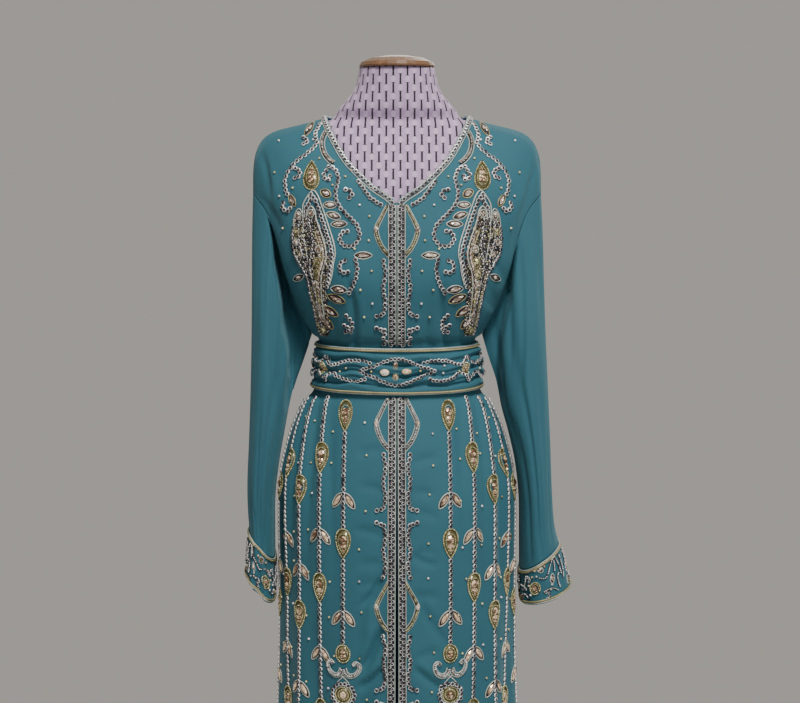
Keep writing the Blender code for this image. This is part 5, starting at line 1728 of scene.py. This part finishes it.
def front_edge(work, ground, top, foot, broken):
    """Tape, lines and chain of one stretch, with its frames and the chains between them."""
    start, width, rise = FRONT_BAND["start"], FRONT_BAND["width"], FRONT_BAND["rise"]
    tape(work, [front_line(ground, start + width * share, top, foot) for share in (0.0, 0.5, 1.0)], rise, GROUND)
    for offset in (start + 0.5, start + width - 0.8):
        lay_line(work, lifted(front_line(ground, offset, top, foot), rise * 0.5), 0.75, PALE_LINE)
    # a dark strip under the chain: painted shade in the gaps between its beads
    dark = [lifted(front_line(ground, start + width * share, top, foot), 0.7) for share in FRONT_BAND["dark"]]
    work.strip(dark, (0.3, 0.5, 0.3), DARK_AND_SHADE)
    lay_chain(work, lifted(front_line(ground, start + width / 2 - 0.1, top, foot), rise), FRONT_BAND["pitch"],
              FRONT_BAND["half"], sway=FRONT_BAND["sway"], lean=0.0)
    frames = {z: kind for z, kind in FRAMES["kinds"].items() if foot < z < top}
    for z, kind in frames.items():
        pointed_frame(work, ground, z, kind, top, foot)
    ends = [top] + [value for z in frames for value in (z + FRAMES["half"], z - FRAMES["half"])] + [foot]
    for high, low in zip(ends[::2], ends[1::2]):
        if high - low > SIDE_CHAIN["least"]:
            side_chain(work, ground, high - 1, low + 1, broken)


for side in SIDES:
    for stretch, (top, foot) in FRONT_STRETCHES.items():
        work = Trimming()
        front_edge(work, GROUNDS[side], top, foot, SIDE_CHAIN["broken"][stretch])
        work.sewn(f"front_edge_{stretch}_{side}", side, "silver_beadwork", f"front_band_{stretch}_{side}")

# %% [markdown]
# ## Beading on the chest
#
# The chest carries the densest work: three arches, one inside the other, over a ground filled with
# every kind of bead, a gold drop above them, and bead scrolls that spring from the shoulder and
# from the arches, with stone leaves between them.  Both sides have the same drawing, mirrored.
# Scrolls are a few points for the stem and a spiral for each curl.

# %% The drawing of the chest
STEMS = [
    # x, z of the points of each bead stem
    [
        (112, 1424), (119, 1408), (117, 1393), (130, 1379), (143, 1370), (154, 1358), (161, 1344), (161, 1330),
        (157, 1318),
    ],
    [
        (106, 1346), (97, 1360), (87, 1353), (84, 1341), (87.5, 1327), (86.5, 1313), (79, 1300), (67, 1288),
        (56, 1276), (52.5, 1262),
    ],
    [(60, 1232), (56.5, 1219), (58, 1205), (63, 1191), (71, 1179)],
    [(76, 1150), (68, 1142), (65, 1131), (69, 1120)],
]
CURLS = [
    # x, z, radius, start, sweep
    (146.5, 1349, 9, 70, 235), (157.5, 1303, 9, 60, -250), (136, 1396, 6.5, 60, 250), (99, 1346, 6, 0, -250),
    (70, 1261, 16.5, 180, 290), (70, 1320, 8.5, 45, 240), (72.5, 1217, 11.5, 100, -250), (75, 1126, 7, 60, 240),
]
CHEST_LEAVES = [
    # x, z, half width, length, degrees, gold
    (102, 1322.5, 6, 17, -62, True), (96, 1306, 5.2, 20, -88, False), (90.5, 1291, 5.2, 22, -72, False),
    (82.5, 1279, 5.4, 24, -92, False), (48, 1235, 5.2, 26, -90, False), (83, 1186, 6, 24, -84, False),
    (87, 1172, 6.2, 28, -70, True), (97, 1153, 6.4, 28, -60, True), (102, 1135, 6.2, 26, -44, True),
    (129, 1416, 4.6, 24, 28, True), (151, 1312, 4.6, 19, -26, True), (143, 1200, 4.8, 19, 62, False),
]
OUTER_ARCH = [
    (135, 1292), (134.5, 1306), (128, 1318), (120, 1326.5), (113, 1319), (107.5, 1305), (102, 1290), (97, 1275),
    (92, 1260), (88.5, 1247), (87.5, 1235), (90, 1222), (92, 1207), (96, 1192),
]
MIDDLE_ARCH = [
    (130, 1284), (128.5, 1297), (123, 1304), (117.5, 1298), (115, 1286), (110, 1271), (105, 1257), (101, 1243),
    (100.5, 1230), (104, 1217), (107.5, 1203), (108, 1182), (106.5, 1160), (104.5, 1140),
]
SIDE_ARCH = [
    (150.5, 1262), (149, 1280), (146, 1294), (140.5, 1300.5), (136, 1294), (134.5, 1281), (134, 1262),
    (130, 1242), (127, 1222),
]
FILLED = [
    (148.5, 1284), (151, 1258), (149, 1234), (141, 1220), (132, 1204), (127, 1188), (124, 1172), (119.5, 1152),
    (117, 1130), (112, 1113), (99, 1112), (97, 1130), (98, 1152), (101, 1176), (101.5, 1200), (97, 1214),
    (96, 1232), (100, 1250), (108, 1272), (115, 1290), (122, 1301), (130, 1295), (134, 1288), (141, 1297),
]
FILLED_CHAINS = [
    [
        (149, 1276), (151, 1256), (148, 1234), (140, 1221), (131, 1205), (126.5, 1188), (123, 1171),
        (119, 1151), (116, 1130), (111, 1115),
    ],
    [
        (127, 1287), (124, 1268), (121, 1250), (124, 1232), (125.5, 1214), (121, 1196), (117, 1176),
        (113, 1152), (109, 1126),
    ],
    [(141, 1284), (142, 1262), (139, 1244), (133, 1228)],
]
FILLED_STONES = [
    # x, z, radius, gold
    (123, 1294, 4.6, False), (141, 1291, 4.8, False), (143.5, 1267, 4.2, True), (145, 1252, 3.8, False),
    (112, 1243, 4.4, False), (113, 1224, 5.8, True), (114.5, 1207, 5.8, True), (116, 1192, 4.4, False),
    (137, 1234, 4, False), (110, 1168, 3.6, True), (109, 1146, 3.4, False), (106, 1124, 5, True),
]
SHOULDER_RIBBON = [(103.5, 1411), (108, 1401), (108.5, 1390), (105, 1379), (98, 1370), (91, 1365)]
CHEST_DOTS = [
    (173, 1398), (178, 1352), (165, 1272), (74, 1346), (53, 1306), (39, 1290), (40, 1256), (36, 1213),
    (35, 1166), (112, 1372), (92, 1334), (66, 1355), (122, 1399), (150, 1330), (52, 1186), (47, 1146),
    (170, 1318), (60, 1244),
]
CHEST_JEWEL = (123.0, 1348.0, 11.8, 41.0)
BAND_CHAIN = {"near": 12.5, "far": 21.0, "full": 56.0, "over": 32.0, "end": (20.5, 1305.0)}


def shifted(path, x, z):
    """A drawn line moved sideways and up."""
    return [(place + x, height + z) for place, height in path]


def close_work(work, layout):
    """The arches and the filled ground under them."""
    lay_fill(work, layout, FILLED)
    for chain in FILLED_CHAINS:
        lay_chain(work, lifted(layout(smooth_line(chain)), 1.0), 5.4, (2.5, 2.5, 1.2), middle=0.36)
    for arch, radius in ((OUTER_ARCH, 1.1), (MIDDLE_ARCH, 1.2), (SIDE_ARCH, 0.9)):
        lay_line(work, lifted(layout(smooth_line(arch)), 0.8), radius, PALE_LINE)
    inner = smooth_line([(x - 4.6 if x > 124 else x + 4.8, z - 4.6) for x, z in OUTER_ARCH])
    lay_chain(work, layout(inner), pitch=6.0)
    lay_bugles(work, lifted(layout(smooth_line(shifted(MIDDLE_ARCH[5:], 3.9, -2.0))), 1.2), half=(1.0, 3.2, 1.3),
               slant=48.0, kind=GEM, middle=0.32)
    lay_line(work, lifted(layout(smooth_line(shifted(MIDDLE_ARCH[5:], 7.4, -3.0))), 1.4), 0.8, GOLD_LINE)
    lay_bugles(work, layout(smooth_line(shifted(FILLED_CHAINS[0][5:], -3.0, 0.0))), half=(0.9, 3.0, 1.9),
               slant=52.0, pitch=2.8, middle=0.2)
    for x, z, radius, gold in FILLED_STONES:
        here, out = layout(np.array([[x, z], [x, z + 2.0]]))
        up = unit(here[1] - here[0])
        across = unit(np.cross(up, out[0]))
        place = here[0] + out[0] * 2.4
        ring = oval(radius, radius * 2.5, 22)
        border = place + across * ring[:, :1] + up * ring[:, 1:]
        lay_line(work, (border, np.broadcast_to(out[0], border.shape)), 0.7, GOLD_LINE if gold else PALE_LINE,
                 closed=True)
        work.stone(place, out[0], up, oval(radius * 0.8, radius * 2.0, 10), 3.4, GOLD if gold else GEM, 0.34)


def shoulder_ribbon(work, layout):
    """A short ribbon of slanted stones between two pale lines."""
    ribbon = smooth_line(SHOULDER_RIBBON)
    # dark line under the stones: painted shade between them
    lay_line(work, layout(ribbon), 2.0, DARK_AND_SHADE)
    lay_bugles(work, layout(ribbon), pitch=2.5, half=(0.85, 2.8, 2.4), kind=GEM, slant=48.0, middle=0.4)
    for edge in (-3.5, 3.5):
        lay_line(work, layout(ribbon + beside_of(ribbon) * edge), 0.8, PALE_LINE)


def band_chain(work, ground):
    """The chain that leaves the neck band low on the chest and runs down beside it."""
    near, far = (neck_line(ground, BAND_CHAIN[end])[0][:, ::2] for end in ("near", "far"))
    share = np.clip((BAND_CHAIN["full"] - near[:, :1]) / BAND_CHAIN["over"], 0, 1)
    path = (near + (far - near) * share)[(near[:, 0] < 57) & (near[:, 0] > 27)]
    lay_chain(work, ground.by_place(smooth_line([*path[::8], BAND_CHAIN["end"]])), pitch=6.4)


for side in SIDES:
    layout = GROUNDS[side].by_place
    work = Trimming()
    close_work(work, layout)
    work.sewn(f"chest_beading_{side}", side, "silver_beadwork", f"chest_work_{side}")
    work = Trimming()
    for stem in STEMS:
        lay_chain(work, layout(smooth_line(stem)))
    for row in CURLS:
        lay_chain(work, layout(curl(*row)), pitch=6.0)
    # the leaves below 1230 mm get darker stones: painted shade on the lower chest
    for x, z, half_width, length, degrees, gold in CHEST_LEAVES:
        lay_leaf(work, layout, x, z, half_width, length, degrees, GOLD_LINE if gold else PALE_LINE,
                 0.62 if z > 1230 else 0.42)
    lay_jewel(work, layout, *CHEST_JEWEL)
    shoulder_ribbon(work, layout)
    band_chain(work, GROUNDS[side])
    lay_scatter(work, layout, CHEST_DOTS)
    work.sewn(f"chest_scrolls_{side}", side, "silver_beadwork")

# %% [markdown]
# ## Chains down the skirt
#
# Five chains fall from under the belt on each side.  Each carries drops set in gold and pairs of
# leaves, and neighbouring chains are staggered so that the drops never line up.  The first has a
# richer joint at the knee: an oval jewel, a pair of ram's horns and a ring of beads round a smaller
# jewel.  The first three repeat the raised chains of the solid garment; the two towards the side
# seam are light enough to be beads alone.

# %% Skirt chains
CHAIN_FOOT = 60.0
SKIRT_CHAINS = [
    # cloth, top, drops, leaves, knee joint
    (78, 1024, (999, 817, 400, 220), (891, 719, 480, 300, 120), 655),
    (117, 1024, (938, 748, 560, 374, 188), (836, 660, 467, 281, 95), None),
    (156, 1020, (888, 701, 514, 328, 142), (778, 602, 421, 235), None),
    (195, 1016, (921, 742, 560, 374, 188), (820, 652, 467, 281, 95), None),
    (234, 1012, (880, 701, 514, 328, 142), (770, 602, 421, 235), None),
]
DROP = {"half_width": 11.8, "length": 43.0}
LEAF = {"half_width": 5.6, "length": 27.0, "aside": 9.4, "below": 11.5, "lean": 35.0}
KNEE_HORN = [
    (1.5, 22), (4, 28.5), (9.5, 32.5), (15.5, 31.5), (21, 27.5), (24, 21.5), (23.5, 15), (19, 12.5), (15, 16.5),
]
HORN = {"width": 6.8, "taper": 0.55, "line": 1.15, "bugle": (1.0, 2.6, 2.4), "joint": (14.0, 80.0)}
HORN_ARC = [(-9.0, -43.5), (-2.0, -36.0), (6.0, -30.5)]
KNEE_RING = {"below": 61.0, "radius": 16.5, "pitch": 5.9, "jewel": 11.5}
SKIRT_DOTS = {"rows": 17, "top": 985.0, "step": 55.0, "shake": (7, 16),
              "columns": (48.0, 97.0, 137.0, 176.0, 215.0)}


def leaf_pair(work, layout, x, z):
    """Two leaves that spring from a chain."""
    for hand in (-1, 1):
        lay_leaf(work, layout, x + hand * LEAF["aside"], z - LEAF["below"], LEAF["half_width"], LEAF["length"],
                 hand * LEAF["lean"], stone=0.74, kind=AMBER, edge=0.95)


def knee_joint(work, layout, x, z):
    """An oval jewel, two ram's horns that meet under it and a ring of beads round a gold jewel."""
    lay_jewel(work, layout, x, z, 10.5, 26.0, outline=oval)
    for hand in (-1, 1):
        horn = smooth_line([(x + hand * aside, z - below) for aside, below in KNEE_HORN])
        beside = beside_of(horn, -1) * np.linspace(1.0, HORN["taper"], len(horn))[:, None]
        for edge in (-0.5, 0.5):
            lay_line(work, layout(horn + beside * HORN["width"] * edge), HORN["line"], PALE_LINE)
        # dark line under the bugles: painted shade between them
        lay_line(work, layout(horn), 1.8, DARK_AND_SHADE)
        lay_bugles(work, layout(horn), pitch=2.6, half=HORN["bugle"], slant=62.0, kind=SILVER, middle=0.6)
        arc = smooth_line([(x + hand * aside, z + up) for aside, up in HORN_ARC])
        lay_line(work, layout(arc), 0.9, PALE_LINE)
    turn = np.linspace(0, TURN, 60)
    centre = z - KNEE_RING["below"]
    ring = np.stack([x + KNEE_RING["radius"] * np.sin(turn), centre + KNEE_RING["radius"] * np.cos(turn)], axis=1)
    lay_chain(work, layout(ring), pitch=KNEE_RING["pitch"])
    lay_round_jewel(work, layout, x, centre, KNEE_RING["jewel"])


def skirt_chain(work, layout, cloth, top, drops, leaves, joint):
    """One chain with its drops and leaves."""
    stops = [(z + DROP["length"] / 2, z - DROP["length"] / 2) for z in drops]
    if joint:
        stops.append((joint + HORN["joint"][0], joint - HORN["joint"][1]))
        knee_joint(work, layout, cloth, joint)
    cuts = [top] + [value for pair in sorted(stops, reverse=True) for value in pair] + [CHAIN_FOOT]
    for high, low in zip(cuts[::2], cuts[1::2]):
        if high - low > 8:
            lay_chain(work, layout(np.stack([np.full(60, cloth), np.linspace(high, low, 60)], axis=1)))
    for z in drops:
        lay_jewel(work, layout, cloth, z, DROP["half_width"], DROP["length"], flipped=True)
    for z in leaves:
        leaf_pair(work, layout, cloth, z)


for side in SIDES:
    layout = GROUNDS[side].by_cloth
    for number, row in enumerate(SKIRT_CHAINS, start=1):
        work = Trimming()
        skirt_chain(work, layout, *row)
        nodes = [f"bead_chain_{number}_{side}"] if number < 4 else []
        work.sewn(f"skirt_chain_{number}_{side}", side, "silver_beadwork", *nodes)
    work = Trimming()
    aside, above = SKIRT_DOTS["shake"]
    dots = [(cloth + RANDOM.uniform(-aside, aside),
             SKIRT_DOTS["top"] - SKIRT_DOTS["step"] * step + RANDOM.uniform(-above, above))
            for cloth in SKIRT_DOTS["columns"] for step in range(SKIRT_DOTS["rows"])]
    lay_scatter(work, layout, dots)
    work.sewn(f"skirt_dots_{side}", side, "silver_beadwork")

# %% [markdown]
# ## Beading on the belt and the cuffs
#
# Long pointed loops of ring beads follow each other round the belt.  Inside each loop four stones
# make a cross, shorter arcs fill the corners, and a gold-set jewel stands between two loops.  The
# cuffs carry rows of small sparkling beads, curls of ring beads, leaves, single stones and a jewel,
# three times round.

# %% Belt beading
BELT_REPEATS = 3
BELT_HEIGHT = run_of(belt_outer[:, 0])[-1]
BELT_CHAIN = (5.8, (3.1, 3.1, 1.2))
LOOP = [(-58, -1), (-47, 5), (-33, 10), (-20, 18), (-8, 23.5), (0, 25)]
ARCS = [
    [(-116, 25), (-111, 14), (-101, 9), (-90, 12), (-78, 18), (-64, 19.5), (-50, 19), (-38, 14)],
    [(-118, -24), (-110, -12), (-100, -6), (-90, -11), (-76, -17), (-60, -18.5), (-45, -13)],
]
CROSS_STONES = [
    # along, up, half width, length, degrees, kind, tone
    (-18.0, -1.0, 5.0, 13.0, 90.0, GEM, 0.95), (14.0, 1.0, 4.0, 13.5, 90.0, AMBER, 0.9),
    (-2.0, 12.0, 3.0, 13.5, 0.0, GEM, 0.6), (-2.0, -9.0, 3.8, 10.5, 0.0, AMBER, 0.5),
]
BELT_JEWEL = {"before": 5.0, "up": 1.0, "half_width": 7.0, "length": 21.0}
BELT_DOTS = [(72.0, 9.0), (98.0, -3.0), (-78.0, 4.0), (-90.0, -3.0), (70.0, -4.0), (34.0, 2.0), (-38.0, 0.0)]


def on_belt(path):
    """Places in mm from the front middle towards the left, and up from the belt's middle."""
    columns = path[:, 0] / BELT_LENGTH % 1 * (BELT_GROUND.columns - 1)
    return BELT_GROUND.at((0.5 - path[:, 1] / BELT_HEIGHT) * (BELT_GROUND.rows - 1), columns)


work = Trimming()
for repeat in range(BELT_REPEATS):
    middle = repeat * BELT_LENGTH / BELT_REPEATS
    for hand in (-1, 1):
        for path in ([(x, -z) for x, z in LOOP], LOOP, *ARCS):
            lay_chain(work, on_belt(smooth_line([(middle + hand * x, z) for x, z in path])), *BELT_CHAIN)
    for x, z, half_width, length, degrees, kind, tone in CROSS_STONES:
        lay_stone(work, on_belt, middle + x, z, turned(oval(half_width, length, 10), degrees), 4.4, kind, tone, 0.8)
        border = turned(oval(half_width + 0.6, length + 1.2, 20), degrees)
        lay_line(work, ring_of(on_belt, middle + x, z, border), 0.5, GOLD_LINE, closed=True)
    lay_jewel(work, on_belt, middle + BELT_LENGTH / BELT_REPEATS / 2 - BELT_JEWEL["before"], BELT_JEWEL["up"],
              BELT_JEWEL["half_width"], BELT_JEWEL["length"], outline=oval)
    lay_scatter(work, on_belt, shifted(BELT_DOTS, middle, 0.0))
work.sewn("belt_beading", "left", "silver_beadwork")

# %% Cuff beading
CUFF_REPEATS = 3
CUFF_SPRAYS = [
    # mm round towards the arm's inner side and mm up, for rows of small silver beads
    [(-20, 24), (-14, 17), (-8, 10.5), (-2.5, 4.5), (3, 5.5), (8, 9)], [(-21, 24), (-20, 15), (-18, 6)],
    [(-23, 24), (-27, 16), (-29.5, 7), (-30, -3)], [(-36, 20), (-38, 10), (-37, 0), (-33, -9)],
    [(-25, 1), (-21, -2), (-20, -9), (-21, -17)], [(-17, -19), (-10, -14), (-3, -12.5), (5, -14)],
    [(32, 18), (36, 8), (44, 1), (53, 3)], [(34, -19), (41, -13), (49, -14)],
]
# along, up, radius, start, sweep
CUFF_CURLS = [(1, -20.5, 6, 60, 250), (30, 10, 6.5, 20, 250), (46, -6, 6, 200, -240)]
CUFF_JEWEL = (18.0, -5.0, 9.0)
CUFF_LEAVES = ((5.0, 19.0, -50.0), (-12.0, -2.0, 20.0), (52.0, -17.0, 60.0))
CUFF_STONES = {SILVER: ((-6.0, -14.0), (-9.0, -9.0), (12.0, 12.0), (27.0, -14.0)),
               AMBER: ((14.0, 21.0), (29.0, 1.0), (-3.0, 20.0), (20.0, 13.0))}


def on_cuff(side, repeat):
    """A layout for one repeat on a cuff: mm round it from its front and mm up from its middle."""
    ground = CUFF_GROUNDS[side]
    run = run_of(ground.grid[ground.rows // 2])
    height = float(np.mean(np.linalg.norm(ground.grid[0] - ground.grid[-1], axis=1)))
    start = run[AROUND_ARM // 4] + repeat * run[-1] / CUFF_REPEATS

    def layout(path):
        columns = np.interp((start + path[:, 0]) % run[-1], run, np.arange(len(run)))
        return ground.at((0.5 - path[:, 1] / height) * (ground.rows - 1), columns)
    return layout


for side in SIDES:
    work = Trimming()
    for repeat in range(CUFF_REPEATS):
        layout = on_cuff(side, repeat)
        for spray in CUFF_SPRAYS:
            lay_sparkle(work, layout(smooth_line(spray)))
        for row in CUFF_CURLS:
            lay_chain(work, layout(curl(*row)), 4.2, (2.1, 2.2, 1.1))
        # the jewel's dark ground is painted shade
        lay_round_jewel(work, layout, *CUFF_JEWEL, DARK_AND_SHADE)
        for x, z, degrees in CUFF_LEAVES:
            lay_leaf(work, layout, x, z, 3.6, 13.0, degrees)
        for kind, places in CUFF_STONES.items():
            for x, z in places:
                lay_stone(work, layout, x, z, oval(1.8, 3.8, 8), 2.6, kind, 0.8)
    work.sewn(f"cuff_beading_{side}", side, "silver_beadwork")

# %% [markdown]
# ### Stitching at the hem
#
# The hem is turned up and held by two rows of small running stitches in the cloth's own thread.

# %% Hem stitches
HEM_ROWS = (11.0, 13.5)     # mm above the edge
HEM_RUNS = {"front": (GROUNDS, 0.1), "back": (BACK_GROUNDS, 0.0)}   # ground, share of its width at the start
STITCH = {"pitch": 3.6, "half": (0.45, 1.15, 0.35), "end": 0.985, "places": 240}

for side in SIDES:
    for part, (grounds, start) in HEM_RUNS.items():
        ground = grounds[side]
        work = Trimming()
        columns = np.linspace(start, STITCH["end"], STITCH["places"]) * (ground.columns - 1)
        step = float(np.mean(np.linalg.norm(ground.grid[-1] - ground.grid[-2], axis=1)))
        for up in HEM_ROWS:
            rows = np.full(STITCH["places"], ground.rows - 1 - up / step)
            places, out, along = evenly(ground.at(rows, columns), STITCH["pitch"])
            work.beads(places + out * 0.2, out, along, STITCH["half"], GROUND, tones_for(len(places)))
        work.sewn(f"hem_stitches_{part}_{side}", side, "teal_georgette")

# %% [markdown]
# ## The dress form
#
# The kaftan hangs on a limbless form with a wooden neck cap, on a steel pole.  Its body is one
# smooth skin through a table of level sections, covered in dashed lilac cloth; the cap, pole and
# base keep their plain turned shapes and get a finish of their own.

# %% The covered form
FORM_LEVELS = [
    # z, half_x, front, back, squareness: hip 860, waist 1060, bust 1207, shoulders 1392, neck
    (740, 146, 90, 102, 2.1), (775, 157, 98, 112, 2.1), (860, 163, 104, 119, 2.1), (940, 147, 97, 105, 2.1),
    (1000, 124, 86, 86, 2.1), (1060, 109, 79, 71, 2.1), (1110, 113, 85, 75, 2.1), (1160, 124, 97, 82, 2.2),
    (1207, 133, 108, 87, 2.3), (1255, 140, 105, 91, 2.3), (1300, 150, 95, 93, 2.3), (1345, 167, 78, 88, 2.4),
    (1375, 180, 63, 81, 2.3), (1392, 181, 54, 74, 2.1), (1405, 167, 46, 68, 1.8), (1419.6, 143, 41, 63, 1.6),
    (1430, 99, 39, 59, 1.6), (1445, 87, 46, 59, 1.9), (1460, 74, 48, 57, 2), (1478, 62, 49, 54, 2),
    (1506, 56, 50, 50, 2),
]
FORM_AROUND = 96
FORM_STEPS = 5          # rings between two rows of the table


def form_rings():
    """Rings of the form with the swell of the bust."""
    rings = []
    for row in between(FORM_LEVELS, np.linspace(0, len(FORM_LEVELS) - 1, FORM_STEPS * (len(FORM_LEVELS) - 1) + 1)):
        ring = waist_ring(*row, FORM_AROUND)
        swell = bust_swell(np.abs(ring[:, 0]), row[0])
        ring[:, 1] -= np.where(ring[:, 1] < 0, BUST["rise"] * swell, 0.0)
        rings.append(ring)
    return np.array(rings)


def covered_form():
    """The form's skin, closed below and above; its cover is straight down the front and the back."""
    rings = form_rings()
    rows = len(rings)
    quads, places = grid_quads(rows, FORM_AROUND, ring=True)
    around = thread_map(rings, wrap=True)[:, :, 0]
    height = closed_up(rings)[:, :, 2] * MM
    middle = np.array((0.0, 0.5, 0.5, 1.0))[places[0][1] * 4 // FORM_AROUND]    # by the quarter of the ring
    quad_map = np.stack([np.stack([around[r, c] - around[r, -1] * middle, height[r, c]], axis=1)
                         for r, c in places], axis=1)
    faces = quads.tolist() + [list(range(FORM_AROUND)), list(range((rows - 1) * FORM_AROUND, rows * FORM_AROUND))]
    made = object_from("covered_form", rings.reshape(-1, 3), faces, [COVER], np.zeros(len(faces)),
                       np.ones(len(faces)))
    ends = np.concatenate([rings[0][:, :2], rings[-1][:, :2]]) * MM
    add_cloth_map(made, np.concatenate([quad_map.reshape(-1, 2), ends]))
    return put(turned_out(made), "form_cover", "form_torso")


covered = covered_form()
print("form:", len(covered.data.polygons), "faces")
